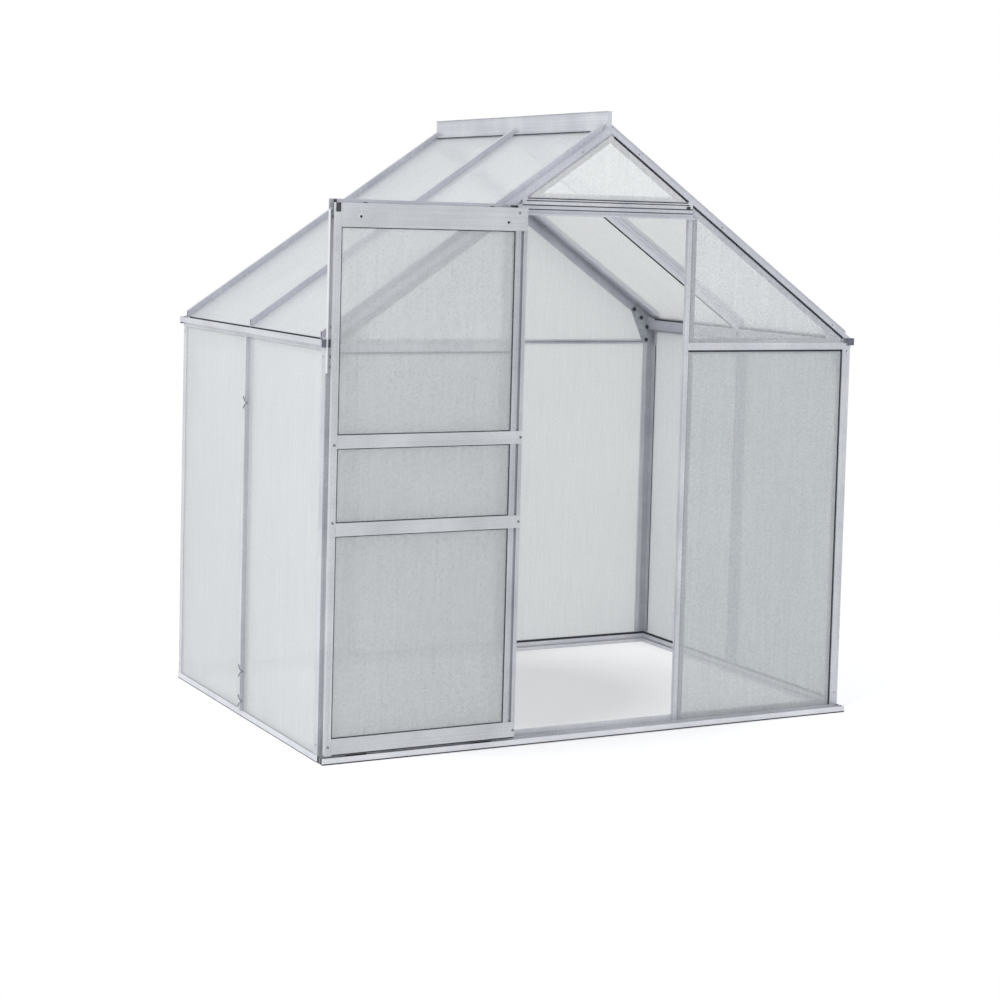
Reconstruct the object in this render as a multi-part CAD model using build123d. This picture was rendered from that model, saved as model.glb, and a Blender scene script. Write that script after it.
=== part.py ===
from build123d import *
import os
from math import atan2, cos, sin, tan

os.makedirs("parts", exist_ok=True)

# A small walk-in greenhouse: a bolted frame of thin aluminium extrusions, glazed with
# twin-wall polycarbonate, with a top-hung door that slides along the front gable.
# Millimetres. X runs along the front gable, Y from the front to the back, Z up.
# The origin is on the ground, in the middle of the whole footprint.
# Sections are drawn with x across the bar and y towards the outside of the building.

# Overall frame
frame_width = 1870.0  # outer faces of the corner posts, side to side
frame_depth = 1258.5  # outer faces of the corner posts, front to back
eaves_height = 1228.0  # underside of the gutters, where the posts end
ridge_height = 1950.0  # top of the ridge bar
ridge_stand = 51.5  # top of the ridge bar above the apex of the roof
roof_start = 18.5  # outer edge of the roof above the eaves height

# Sheet and extrusion thicknesses
wall = 1.5  # aluminium wall of the frame bars
panel = 4.0  # polycarbonate sheet
seat = 6.0  # how far the glazing flanges lie behind the outer face of a bar
play = 0.5  # room at the edge of a panel
spare = 60.0  # length that bars have over at each end, before they are trimmed

# Frame bars
post_leg = 30.0  # proud faces of a corner post
post_flange = 18.0  # its glazing flange on the gable
post_side_flange = 8.0  # its glazing flange on the side wall
seal_gap = 7.0  # slot for the rubber between a proud face and a gable panel
rafter_leg = 14.0  # proud face of a gable rafter on the gable
rafter_flange = 25.0  # its glazing flange there
rafter_deck = 28.0  # flat top of a gable rafter, from the gable to its rib
roof_rise = 18.0  # ribs of the rafters and roof bars above the roof
stud_rise = 12.0  # ribs of the side studs outside the wall
bar_face = 14.0  # proud face of a stud or roof bar
bar_flange = 22.0  # glazing flange on each side of it
stem_depth = 21.0  # bolt channel behind a stud or roof bar
stem_width = 14.0
bolt_slot = 6.5
transom_face = 23.0  # proud face of a front eaves bar
transom_flange = 14.0
transom_drop = 7.5  # middle of a front eaves bar below the eaves height
back_bar_face = 7.0
back_bar_flange = 5.0
back_bar_drop = 72.0

# Sill
sill_lip = 20.0  # height of the outer face
sill_flange = 38.0  # height of the glazing flange
sill_width = 20.0
sill_curb = 12.0

# Gutter
gutter_overhang = 15.0  # outside the posts
gutter_height = 18.0
gutter_skirt = 14.0  # lip that hangs over the top of the side panels
gutter_flange = 34.0

# Ridge
ridge_web = 16.0
ridge_top = 24.0
ridge_lip = 8.0  # lip over the upper edge of the roof panels
ridge_setback = 15.0  # each end stops short of the gable
ridge_hang = 40.0  # webs below the outer face of the roof
ridge_shelf = 4.0  # cross wall above the apex

# Door opening and gable bars
opening_half = 290.0
jamb_face = 14.0
jamb_return = 14.0
head_drop = 42.0  # bar over the door below the roof, at the edge of the opening
head_face = 22.0
back_stud = 306.0  # studs of the back gable, from the middle

# Door
door_lap = 8.0  # the closed door past the outer edges of the jambs
door_setback = 7.0  # edge of the open door in from the side of the frame
door_bottom = 26.0
door_head_gap = 11.0  # top of the door below the bar over it
door_gap = 22.0  # back of the door in front of the gable
door_body = 16.5  # depth of the stiles, behind the cover strips of the rails
door_wall = 1.4
rib = 1.6  # front face of the stiles ahead of the door's panels
rail_depth = 12.0  # depth of the two middle rails
pull_depth = 10.0  # finger groove in the right stile
pull_near = 18.0  # its edges, from the inner edge of the stile
pull_far = 28.0
stile_left_face = 19.0
stile_right_face = 40.0
header_face = 70.0
rail_face = 39.0
bottom_face = 50.0
upper_rail = 950.0  # heights of the rails' middles
lower_rail = 693.0
slot_depth = 8.0

# Top track and rollers
track_height = 32.0
track_reach = 15.0
track_lip = 6.0
wheel_radius = 11.0
wheel_width = 7.0
wheel_gap = 2.5  # back of the rollers in front of the track
axle_radius = 3.0
hanger_width = 24.0
hanger_length = 62.0
hanger_inset = 105.0  # roller middles, in from the door's edges
running_gap = 0.3
support_face = 29.0
support_lap = 80.0  # length that overlaps the corner post

# Bottom track and guides
guide_track_height = 20.0
guide_slot = 15.0
guide_thickness = 5.0
guide_length = 60.0
guide_drop = 14.0

# Corner plates, measured in from the glazing flange of the post and down the gable
plate = 2.0
plate_margin = 3.0  # clear of the flange
plate_top_gap = 2.0  # below the eaves height
plate_inset = 12.0  # upper edges inside the outer face of the roof
plate_lap = 6.0  # past the rafter's glazing flange
eaves_plate_drop = 78.0
eaves_plate_foot = 38.0
eaves_plate_reach = 96.0
eaves_plate_top = 80.0
apex_plate_reach = 70.0

half_width = frame_width / 2
track_back = door_gap + door_body + wall  # front of the whole part, ahead of the gable
overall_depth = frame_depth + track_back + wall
front = track_back - overall_depth / 2  # outer face of the front posts
back = front + frame_depth
middle = (front + back) / 2
deep = seat + wall  # inner face of the glazing flanges
roof_edge = eaves_height + roof_start
apex = ridge_height - ridge_stand
pitch = atan2(apex - roof_edge, half_width)
transom_middle = eaves_height - transom_drop
transom_top = transom_middle + transom_face / 2
back_bar_middle = eaves_height - back_bar_drop
deck_end = rafter_deck + bar_face  # roof-side edge of a rafter's rib
lip_end = ridge_web / 2 + ridge_lip
jamb_outer = opening_half + jamb_face


def roof_height(x):
    """Height of the roof's outer face at a distance from the middle."""
    return apex - abs(x) * tan(pitch)


def roof_line(x, inset):
    """Height of a line inside the roof's outer face, at a distance from the middle."""
    return roof_height(x) - inset / cos(pitch)


head_height = roof_height(opening_half) - head_drop
door_top = head_height - door_head_gap
door_width = 2 * (jamb_outer + door_lap)
door_left = door_setback - half_width
door_right = door_left + door_width
door_face = front - door_gap - door_body


def save(shape, name):
    export_step(shape, f"parts/{name}.step")


def save_all(shapes, name):
    save(Compound(children=shapes), name)


def plates(*spans):
    """A section made of thin plates, each as x0, x1, y0, y1."""
    return Sketch() + [
        Pos((x0 + x1) / 2, (y0 + y1) / 2) * Rectangle(x1 - x0, y1 - y0)
        for x0, x1, y0, y1 in spans
    ]


def bar(section, start, end, outward):
    """A section drawn with y outward, pushed from start to end."""
    run = Vector(*end) - Vector(*start)
    place = Plane(origin=start, x_dir=Vector(*outward).cross(run), z_dir=run)
    return extrude(place * section, amount=run.length)


def keep(shape, point, direction):
    """The piece of the shape that lies on the given side of a plane."""
    return split(shape, bisect_by=Plane(origin=point, z_dir=direction), keep=Keep.TOP)


def block(x0, x1, y0, y1, z0, z1):
    return Pos((x0 + x1) / 2, (y0 + y1) / 2, (z0 + z1) / 2) * Box(x1 - x0, y1 - y0, z1 - z0)


def gable_span(end, near, far):
    """Two depths behind the outer face of the front or back gable, as Y, sorted."""
    face = front if end < 0 else back
    return sorted((face - end * near, face - end * far))


def gable_slice(end, near, far, x0, x1, z0, z1):
    """Block between two depths of a gable."""
    y0, y1 = gable_span(end, near, far)
    return block(x0, x1, y0, y1, z0, z1)


def gable_plate(points, end, near, far):
    """An outline given in X and Z, with its thickness between two depths of a gable."""
    y0, y1 = gable_span(end, near, far)
    place = Plane(origin=(0, y1, 0), x_dir=(1, 0, 0), z_dir=(0, -1, 0))
    return extrude(place * make_face(Polyline(*points, close=True)), amount=y1 - y0)


# Sections


def corner_section(flange_x, flange_y):
    """Angle with a stepped glazing flange on both legs, its corner at the origin."""
    return plates(
        (0, post_leg, 0, wall),
        (0, wall, 0, post_leg),
        (post_leg - wall, post_leg, 0, deep),
        (0, deep, post_leg - wall, post_leg),
        (post_leg - wall, post_leg + flange_x, seat, deep),
        (seat, deep, post_leg - wall, post_leg + flange_y),
    )


def hat_section(face, low_flange, high_flange):
    """Proud face with glazing flanges stepped behind it, outer face at y = 0."""
    half = face / 2
    spans = [
        (-half, half, -wall, 0),
        (-half, -half + wall, -deep, 0),
        (half - wall, half, -deep, 0),
    ]
    if low_flange:
        spans.append((-half - low_flange, -half + wall, -deep, -seat))
    if high_flange:
        spans.append((half - wall, half + high_flange, -deep, -seat))
    return plates(*spans)


def rib_section(rise):
    """Raised rib on a proud face, for the spring clips of the panels."""
    half = bar_face / 2
    return plates(
        (-half, -half + wall, -wall, rise),
        (half - wall, half, -wall, rise),
        (-half, half, rise - wall, rise),
    )


def rafter_section():
    """Gable edge of the roof, x from the gable and y into the building."""
    return plates(
        (0, deck_end, 0, wall),
        (0, wall, 0, rafter_leg),
        (deck_end - wall, deck_end, 0, deep),
        (deck_end - wall, deck_end + bar_flange, seat, deep),
        (0, deep, rafter_leg - wall, rafter_leg),
        (seat, deep, rafter_leg - wall, rafter_leg + rafter_flange),
    )


def stem_section():
    """Bolt channel behind a bar, open on its inner side."""
    half = stem_width / 2
    bottom = -deep - stem_depth
    return plates(
        (-half, -half + wall, bottom, -deep),
        (half - wall, half, bottom, -deep),
        (-half, half, -deep - wall, -deep),
        (-half, -bolt_slot / 2, bottom, bottom + wall),
        (bolt_slot / 2, half, bottom, bottom + wall),
    )


def sill_section():
    """Base bar: outer lip, web on the ground, glazing flange and inner curb."""
    return plates(
        (-wall, 0, 0, sill_lip),
        (-wall, sill_width, 0, wall),
        (deep, deep + wall, 0, sill_flange),
        (sill_width - wall, sill_width, 0, sill_curb),
    )


def gutter_section():
    """Open channel on top of the side wall, x outward from the posts."""
    return plates(
        (-post_leg, gutter_overhang, 0, wall),
        (gutter_overhang - wall, gutter_overhang, 0, gutter_height),
        (-post_leg, -post_leg + wall, 0, gutter_height),
        (0, wall, -gutter_skirt, wall),
    )


def slope_ends(side, y):
    """Points on the roof's outer face, past the apex and past the eaves."""
    down = Vector(side * cos(pitch), 0, -sin(pitch))
    top = Vector(0, y, apex)
    return top - down * spare, top + down * (half_width / cos(pitch) + spare)


def slope_outward(side):
    return Vector(side * sin(pitch), 0, cos(pitch))


# Walls


def make_sills():
    """Four mitred base bars, each with the cuts at its two ends."""
    w = half_width
    x, y0, y1 = w + wall, front - wall, back + wall
    for name, start, end, cuts in (
        ("front", (-x, front), (x, front), ((-w, front, 1, -1), (w, front, -1, -1))),
        ("right", (w, y0), (w, y1), ((w, front, 1, 1), (w, back, 1, -1))),
        ("back", (x, back), (-x, back), ((w, back, -1, 1), (-w, back, 1, 1))),
        ("left", (-w, y1), (-w, y0), ((-w, back, -1, -1), (-w, front, -1, 1))),
    ):
        shape = bar(sill_section(), (*start, 0), (*end, 0), (0, 0, 1))
        for corner_x, corner_y, away_x, away_y in cuts:
            shape = keep(shape, (corner_x, corner_y, 0), (away_x, away_y, 0))
        save(shape, f"sill_{name}")


def make_posts():
    along_x = corner_section(post_flange, post_side_flange)
    along_y = corner_section(post_side_flange, post_flange)
    for name, x, y, turn, section in (
        ("front_left", -half_width, front, 0, along_x),
        ("front_right", half_width, front, 90, along_y),
        ("back_right", half_width, back, 180, along_x),
        ("back_left", -half_width, back, 270, along_y),
    ):
        post = extrude(section, amount=eaves_height - wall)
        save(Pos(x, y, wall) * Rot(0, 0, turn) * post, f"corner_post_{name}")


def stud(x, y, outward, top, stem_top):
    """Upright glazing bar with its bolt channel notched over the sill."""
    section = hat_section(bar_face, bar_flange, bar_flange)
    face = bar(section, (x, y, wall), (x, y, top), outward)
    stem = bar(stem_section(), (x, y, sill_flange), (x, y, stem_top), outward)
    return face + stem


def make_side_studs():
    """Studs of the side walls, with a rib between the sill and the skirt of the gutter."""
    for side, hand in ((-1, "left"), (1, "right")):
        x, outward = side * half_width, (side, 0, 0)
        shape = stud(x, middle, outward, eaves_height, eaves_height - gutter_flange)
        rib = bar(rib_section(stud_rise), (x, middle, sill_lip),
                  (x, middle, eaves_height - gutter_skirt), outward)
        save(shape + rib, f"side_stud_{hand}")


def rafter_room(side, end):
    """Room that the gable rafter takes, for the bars that end under it."""
    far = half_width + spare
    room = []
    for near, depth, inset in (
        (-wall, seat, rafter_leg),
        (seat, deep + stem_depth + spare, rafter_leg + rafter_flange),
    ):
        outline = (
            (0, roof_line(0, inset)),
            (side * far, roof_line(far, inset)),
            (side * far, ridge_height),
            (0, ridge_height),
        )
        room.append(gable_plate(outline, end, near, depth))
    return room[0] + room[1]


def make_back_studs():
    top = roof_height(back_stud)
    for side, hand in ((-1, "left"), (1, "right")):
        shape = stud(side * back_stud, back, (0, 1, 0), top, top)
        save(shape - rafter_room(side, 1), f"back_stud_{hand}")


def transom(x0, x1, cope0, cope1, y, z, height, flange):
    """Level glazing bar whose flanges stop short of the bars at its ends."""
    half = height / 2
    outward = (0, 1 if y > 0 else -1, 0)
    face = bar(plates((-half, half, -wall, 0)), (x0, y, z), (x1, y, z), outward)
    section = hat_section(height, flange, flange)
    core = bar(section, (x0 + cope0, y, z), (x1 - cope1, y, z), outward)
    return face + core


def make_eaves_bars():
    """Transoms of the gables: two in front, and three lower ones at the back."""
    outer = half_width - post_leg
    save_all([
        transom(x0, x1, cope0, cope1, front, transom_middle, transom_face, transom_flange)
        for x0, x1, cope0, cope1 in (
            (-outer, -jamb_outer, post_flange, bar_flange),
            (jamb_outer, outer, bar_flange, post_flange),
        )
    ], "front_eaves_bars")
    near = back_stud + bar_face / 2
    far = back_stud - bar_face / 2
    save_all([
        transom(x0, x1, cope0, cope1, back, back_bar_middle, back_bar_face, back_bar_flange)
        for x0, x1, cope0, cope1 in (
            (-outer, -near, post_flange, bar_flange),
            (-far, far, bar_flange, bar_flange),
            (near, outer, bar_flange, post_flange),
        )
    ], "back_eaves_bars")


def make_jambs():
    """Door posts: a proud face, a return into the opening and one glazing flange."""
    glazing = plates(
        (0, jamb_face, -wall, 0),
        (0, wall, -deep, 0),
        (jamb_face - wall, jamb_face, -deep, 0),
        (jamb_face - wall, jamb_face + bar_flange, -deep, -seat),
    )
    reveal = plates(
        (0, wall, -jamb_return, -deep),
        (0, jamb_face / 2, -jamb_return, -jamb_return + wall),
    )
    x, top = opening_half, roof_height(opening_half)
    jamb = bar(glazing, (x, front, top), (x, front, wall), (0, -1, 0))
    jamb += bar(reveal, (x, front, top), (x, front, sill_flange), (0, -1, 0))
    jamb -= rafter_room(1, -1)
    save(jamb, "door_jamb_right")
    save(mirror(jamb, about=Plane.YZ), "door_jamb_left")


def make_head_bar():
    """Bar over the door, between the rafters, that carries the top triangle."""
    z = head_height + head_face / 2
    section = hat_section(head_face, 0, transom_flange)
    shape = bar(section, (-opening_half, front, z), (opening_half, front, z), (0, -1, 0))
    for side in (-1, 1):
        shape -= rafter_room(side, -1)
    save(shape, "door_head_bar")


# Roof


def make_gutters():
    for side, hand in ((-1, "left"), (1, "right")):
        start, end = (front, back) if side < 0 else (back, front)
        x = side * half_width
        channel = bar(gutter_section(), (x, start, eaves_height), (x, end, eaves_height), (0, 0, 1))
        inner = x - side * deep
        flange = block(*sorted((inner, inner - side * wall)), front + deep + wall,
                       back - deep - wall, eaves_height - gutter_flange, eaves_height)
        save(channel + flange, f"gutter_{hand}")


def trim_slope(shape, side, start, reach):
    """Cuts a roof bar at the ridge and at the gutter."""
    shape = keep(shape, (side * start, 0, 0), (side, 0, 0))
    shape = keep(shape, (side * reach, 0, 0), (-side, 0, 0))
    low, high = sorted((side * (half_width - post_leg), side * (half_width + spare)))
    return shape - block(low, high, front - spare, back + spare, 0, eaves_height + gutter_height)


def roof_rib(side, y, reach):
    """Rib on top of a roof bar, from the lip of the ridge down to the gutter."""
    top, bottom = slope_ends(side, y)
    return trim_slope(bar(rib_section(roof_rise), top, bottom, slope_outward(side)),
                      side, lip_end, reach)


def gable_rafter(side, end):
    """Angle along the edge of the roof, with the gable panels on its upright leg."""
    face = front if end < 0 else back
    top, bottom = slope_ends(side, face)
    start, stop = (top, bottom) if side == end else (bottom, top)
    shape = bar(rafter_section(), start, stop, -slope_outward(side))
    shape = trim_slope(shape, side, 0, half_width)
    shape -= block(-ridge_web / 2, ridge_web / 2, front + ridge_setback, back - ridge_setback,
                   0, ridge_height)
    shape -= gable_slice(end, -wall, seat, -half_width, half_width, 0, transom_top)
    shape -= gable_slice(end, seat, deck_end + bar_flange, -half_width, half_width, 0,
                         transom_top + transom_flange)
    return shape + roof_rib(side, face - end * (rafter_deck + bar_face / 2), half_width)


def make_rafters():
    for end, where in ((-1, "front"), (1, "back")):
        for side, hand in ((-1, "left"), (1, "right")):
            save(gable_rafter(side, end), f"gable_rafter_{where}_{hand}")


def make_roof_bars():
    section = hat_section(bar_face, bar_flange, bar_flange) + stem_section()
    for side, hand in ((-1, "left"), (1, "right")):
        top, bottom = slope_ends(side, middle)
        shape = bar(section, top, bottom, slope_outward(side))
        shape = trim_slope(shape, side, ridge_web / 2, half_width - panel)
        save(shape + roof_rib(side, middle, half_width - panel), f"roof_bar_{hand}")


def make_ridge():
    """Upright channel with closed ends, a wide top and a lip over each slope."""
    half = ridge_web / 2
    foot = roof_height(half) - ridge_hang
    shelf = apex + ridge_shelf
    section = plates(
        (-half, -half + wall, foot, ridge_height),
        (half - wall, half, foot, ridge_height),
        (-ridge_top / 2, ridge_top / 2, ridge_height - wall, ridge_height),
        (-half, half, foot, foot + wall),
        (-half, half, shelf, shelf + wall),
    )
    near, far = half - wall / 2, lip_end
    for side in (-1, 1):
        section += make_face(Polyline(
            (side * near, roof_height(near)),
            (side * far, roof_height(far)),
            (side * far, roof_line(far, -wall)),
            (side * near, roof_line(near, -wall)),
            close=True,
        ))
    y0, y1 = front + ridge_setback, back - ridge_setback
    shape = bar(section, (0, y1, 0), (0, y0, 0), (0, 0, 1))
    for near, far in ((y0, y0 + wall), (y1 - wall, y1)):
        shape += block(-half, half, near, far, foot, ridge_height)
    save(shape, "ridge")


def eaves_plate(side, end):
    """Plate that ties a corner post to its gable rafter."""
    outer = half_width - deep - wall - plate_margin
    shoulder = half_width - post_leg - wall
    foot = eaves_height - eaves_plate_drop
    head = eaves_height - plate_top_gap
    tip = outer - eaves_plate_reach
    crest = outer - eaves_plate_top
    return gable_plate([(side * x, z) for x, z in (
        (outer, foot),
        (outer - eaves_plate_foot, foot),
        (tip, roof_line(tip, rafter_leg + rafter_flange) + plate_lap),
        (crest, roof_line(crest, plate_inset)),
        (shoulder, roof_line(shoulder, plate_inset)),
        (shoulder, head),
        (outer, head),
    )], end, deep, deep + plate)


def apex_plate(end):
    """Plate that ties the two rafters of a gable, hidden behind their flanges."""
    low = rafter_leg + rafter_flange - wall
    reach = apex_plate_reach
    return gable_plate((
        (-reach, roof_line(reach, low)),
        (0, roof_line(0, low)),
        (reach, roof_line(reach, low)),
        (reach, roof_line(reach, plate_inset)),
        (0, roof_line(0, plate_inset)),
        (-reach, roof_line(reach, plate_inset)),
    ), end, deep, deep + plate)


def make_corner_plates():
    save_all([eaves_plate(side, end) for end in (-1, 1) for side in (-1, 1)], "eaves_plates")
    save_all([apex_plate(end) for end in (-1, 1)], "apex_plates")


# Panels


def lower_panels(end, inner, top):
    """Panels of the two side bays of a gable, under the eaves bars."""
    outer = half_width - post_leg - seal_gap
    return [
        gable_slice(end, seat - panel, seat, *sorted((side * inner, side * outer)), wall, top)
        for side in (-1, 1)
    ]


def panel_line(x):
    """Height of the upper edge of a gable panel, under the proud leg of the rafter."""
    return roof_line(x, rafter_leg + seal_gap)


def upper_panels(end, inner, base):
    """Sloping panels of the two side bays, over the eaves bars."""
    outer = half_width - post_leg - seal_gap
    return [
        gable_plate(
            [(side * x, z) for x, z in (
                (inner, base), (outer, base), (outer, panel_line(outer)), (inner, panel_line(inner)),
            )],
            end, seat - panel, seat,
        )
        for side in (-1, 1)
    ]


def make_front_panels():
    inner = jamb_outer + play
    top = transom_middle - transom_face / 2 - seal_gap
    save_all(lower_panels(-1, inner, top), "front_lower_panels")
    save_all(upper_panels(-1, inner, transom_top + play), "front_upper_panels")
    base = head_height + head_face + play
    toe = (panel_line(0) - base) / tan(pitch)
    outline = ((-toe, base), (toe, base), (0, panel_line(0)))
    save(gable_plate(outline, -1, seat - panel, seat), "front_top_panel")


def make_back_panels():
    outside = back_stud + bar_face / 2 + play
    inside = back_stud - bar_face / 2 - play
    top = back_bar_middle - back_bar_face / 2 - play
    base = back_bar_middle + back_bar_face / 2 + play
    centre = gable_slice(1, seat - panel, seat, -inside, inside, wall, top)
    save_all(lower_panels(1, outside, top) + [centre], "back_lower_panels")
    peak = gable_plate((
        (-inside, base),
        (inside, base),
        (inside, panel_line(inside)),
        (0, panel_line(0)),
        (-inside, panel_line(inside)),
    ), 1, seat - panel, seat)
    save_all(upper_panels(1, outside, base) + [peak], "back_upper_panels")


def bays(margin):
    """Front-to-back spans of the two bays beside the middle bar, inside the given margin."""
    edge = bar_face / 2 + play
    return (
        (front + margin + play, middle - edge),
        (middle + edge, back - margin - play),
    )


def make_side_panels():
    for side, hand in ((-1, "left"), (1, "right")):
        x0, x1 = sorted((side * (half_width - seat), side * (half_width - seat + panel)))
        save_all([block(x0, x1, y0, y1, wall, eaves_height - play) for y0, y1 in bays(post_leg)],
                 f"{hand}_wall_panels")


def make_roof_panels():
    start = ridge_web / 2 + play + seat * sin(pitch)
    reach = (half_width - panel - start) / cos(pitch)
    for side, hand in ((-1, "left"), (1, "right")):
        span = (0, reach) if side < 0 else (-reach, 0)
        sheets = []
        for y0, y1 in bays(deck_end):
            x, z = side * start, roof_height(start)
            section = plates((*span, -seat, panel - seat))
            sheets.append(bar(section, (x, y0, z), (x, y1, z), slope_outward(side)))
        save_all(sheets, f"{hand}_roof_panels")


# Door tracks


def make_top_track():
    """Shelf that the rollers run on, from the outer support to the right jamb."""
    section = plates(
        (-track_height, 0, 0, wall),
        (-track_height, -track_height + wall, 0, track_reach),
        (-track_height, -track_height + track_lip, track_reach - wall, track_reach),
    )
    start = (-half_width, front, head_height)
    end = (jamb_outer, front, head_height)
    save(bar(section, start, end, (0, -1, 0)), "door_top_track")


def make_support():
    """Angle bolted to the corner post that holds up the free end of the track."""
    section = plates((0, support_face, 0, wall), (0, wall, 0, track_reach - wall))
    top = (-half_width, front, head_height - track_height)
    foot = (-half_width, front, eaves_height - support_lap)
    save(bar(section, top, foot, (0, -1, 0)), "track_support")


def make_bottom_track():
    """Channel ahead of the sill in which the door's guides run."""
    rear = track_back - wall - guide_slot
    section = plates(
        (wall, track_back, 0, wall),
        (track_back - wall, track_back, 0, guide_track_height),
        (rear - wall, rear, 0, guide_track_height),
    )
    reach = half_width + wall
    save(bar(section, (reach, front, 0), (-reach, front, 0), (0, 0, 1)), "door_bottom_track")


# Door


def stile_left_section():
    """Narrow tube with a slot for the panels, x from its outer edge."""
    tube = stile_left_face - slot_depth
    groove = rib + panel
    return plates(
        (0, stile_left_face, -rib, 0),
        (0, door_wall, -door_body, 0),
        (tube - door_wall, tube, -door_body, 0),
        (0, tube, -door_body, -door_body + door_wall),
        (tube - door_wall, stile_left_face, -groove - door_wall, -groove),
    )


def stile_right_section():
    """Wide stile with a finger groove along it, x from its inner edge."""
    t = door_wall
    groove = rib + panel
    return plates(
        (0, pull_near, -rib, 0),
        (pull_near - t, pull_near, -pull_depth, 0),
        (pull_near - t, pull_far + t, -pull_depth, -pull_depth + t),
        (pull_far, pull_far + t, -pull_depth, 0),
        (pull_far, stile_right_face, -rib, 0),
        (stile_right_face - t, stile_right_face, -door_body, 0),
        (slot_depth, stile_right_face, -door_body, -door_body + t),
        (slot_depth, slot_depth + t, -door_body, 0),
        (0, slot_depth + t, -groove - t, -groove),
    )


def slot_plates(edge, tube):
    """Lips of a panel slot between a rail's edge and the wall of its tube."""
    way = 1 if tube > edge else -1
    rim = sorted((edge, edge + way * door_wall))
    width = sorted((edge, tube + way * door_wall))
    groove = rib + panel
    return [
        (*rim, -rib, 0),
        (*width, -groove - door_wall, -groove),
        (*width, -door_wall / 2, 0),
    ]


def rail_section(height, depth, low_slot, high_slot):
    """Core of a rail between the stiles, with a panel slot on one edge or both."""
    t = door_wall
    half = height / 2
    low = -half + slot_depth if low_slot else -half
    high = half - slot_depth if high_slot else half
    spans = [
        (low, low + t, -depth, 0),
        (high - t, high, -depth, 0),
        (low, high, -depth, -depth + t),
        (low, high, -t, 0),
    ]
    if low_slot:
        spans += slot_plates(-half, low)
    if high_slot:
        spans += slot_plates(half, high)
    return plates(*spans)


def rail(z, height, depth, low_slot, high_slot):
    """Level bar of the door, with a cover strip that runs over the right stile."""
    start = door_left + stile_left_face
    cover = plates((-height / 2, height / 2, 0, wall))
    core = rail_section(height, depth, low_slot, high_slot)
    strip = bar(cover, (start, door_face, z), (door_right, door_face, z), (0, -1, 0))
    return strip + bar(core, (start, door_face, z),
                       (door_right - stile_right_face, door_face, z), (0, -1, 0))


def make_door_frame():
    for hand, x, section in (
        ("left", door_left, stile_left_section()),
        ("right", door_right - stile_right_face, stile_right_section()),
    ):
        save(bar(section, (x, door_face, door_top), (x, door_face, door_bottom), (0, -1, 0)),
             f"door_stile_{hand}")
    for name, z, height, depth, low_slot, high_slot in (
        ("door_header", door_top - header_face / 2, header_face, door_body, True, False),
        ("door_upper_rail", upper_rail, rail_face, rail_depth, True, True),
        ("door_lower_rail", lower_rail, rail_face, rail_depth, True, True),
        ("door_bottom_rail", door_bottom + bottom_face / 2, bottom_face, door_body, False, True),
    ):
        save(rail(z, height, depth, low_slot, high_slot), name)


def make_door_panels():
    bite = slot_depth - play
    x0 = door_left + stile_left_face - bite
    x1 = door_right - stile_right_face + bite
    y0 = door_face + rib
    half = rail_face / 2
    for name, z0, z1 in (
        ("top", upper_rail + half, door_top - header_face),
        ("middle", lower_rail + half, upper_rail - half),
        ("bottom", door_bottom + bottom_face, lower_rail - half),
    ):
        save(block(x0, x1, y0, y0 + panel, z0 - bite, z1 + bite), f"door_panel_{name}")


def gear_places():
    """Where the door's hangers and guides stand along it."""
    return door_left + hanger_inset, door_right - hanger_inset


def make_hangers():
    """Plates behind the header, each with a roller that runs on the top track."""
    plate_back = front - door_gap + plate
    axle = head_height - track_height + wall + running_gap + wheel_radius
    wheel_front = front - wall - wheel_gap - wheel_width
    hangers, rollers = [], []
    for x in gear_places():
        hangers.append(block(x - hanger_width / 2, x + hanger_width / 2, front - door_gap,
                             plate_back, door_top - hanger_length, door_top))
        pin = extrude(Plane(origin=(x, plate_back, axle), z_dir=(0, 1, 0)) * Circle(axle_radius),
                      amount=wheel_front + wheel_width - plate_back)
        wheel = extrude(Plane(origin=(x, wheel_front, axle), z_dir=(0, 1, 0)) * Circle(wheel_radius),
                        amount=wheel_width)
        rollers.append(pin + wheel)
    save_all(hangers, "door_hangers")
    save_all(rollers, "door_rollers")


def make_guides():
    """Fins under the bottom rail that run in the bottom track."""
    y = front - track_back + wall + (guide_slot - guide_thickness) / 2
    save_all([
        block(x - guide_length / 2, x + guide_length / 2, y, y + guide_thickness,
              door_bottom - guide_drop, door_bottom)
        for x in gear_places()
    ], "door_guides")


make_sills()
make_posts()
make_side_studs()
make_back_studs()
make_eaves_bars()
make_jambs()
make_head_bar()
make_gutters()
make_rafters()
make_roof_bars()
make_ridge()
make_corner_plates()
make_front_panels()
make_back_panels()
make_side_panels()
make_roof_panels()
make_top_track()
make_support()
make_bottom_track()
make_door_frame()
make_door_panels()
make_hangers()
make_guides()
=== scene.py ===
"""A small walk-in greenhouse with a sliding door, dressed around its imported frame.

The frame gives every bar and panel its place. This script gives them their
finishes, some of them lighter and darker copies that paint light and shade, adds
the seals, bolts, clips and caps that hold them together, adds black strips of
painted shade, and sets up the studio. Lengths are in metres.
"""

import logging
import math
from collections.abc import Callable
from dataclasses import dataclass, field
from enum import Enum

import bmesh
import bpy
from mathutils import Matrix, Vector

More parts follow.
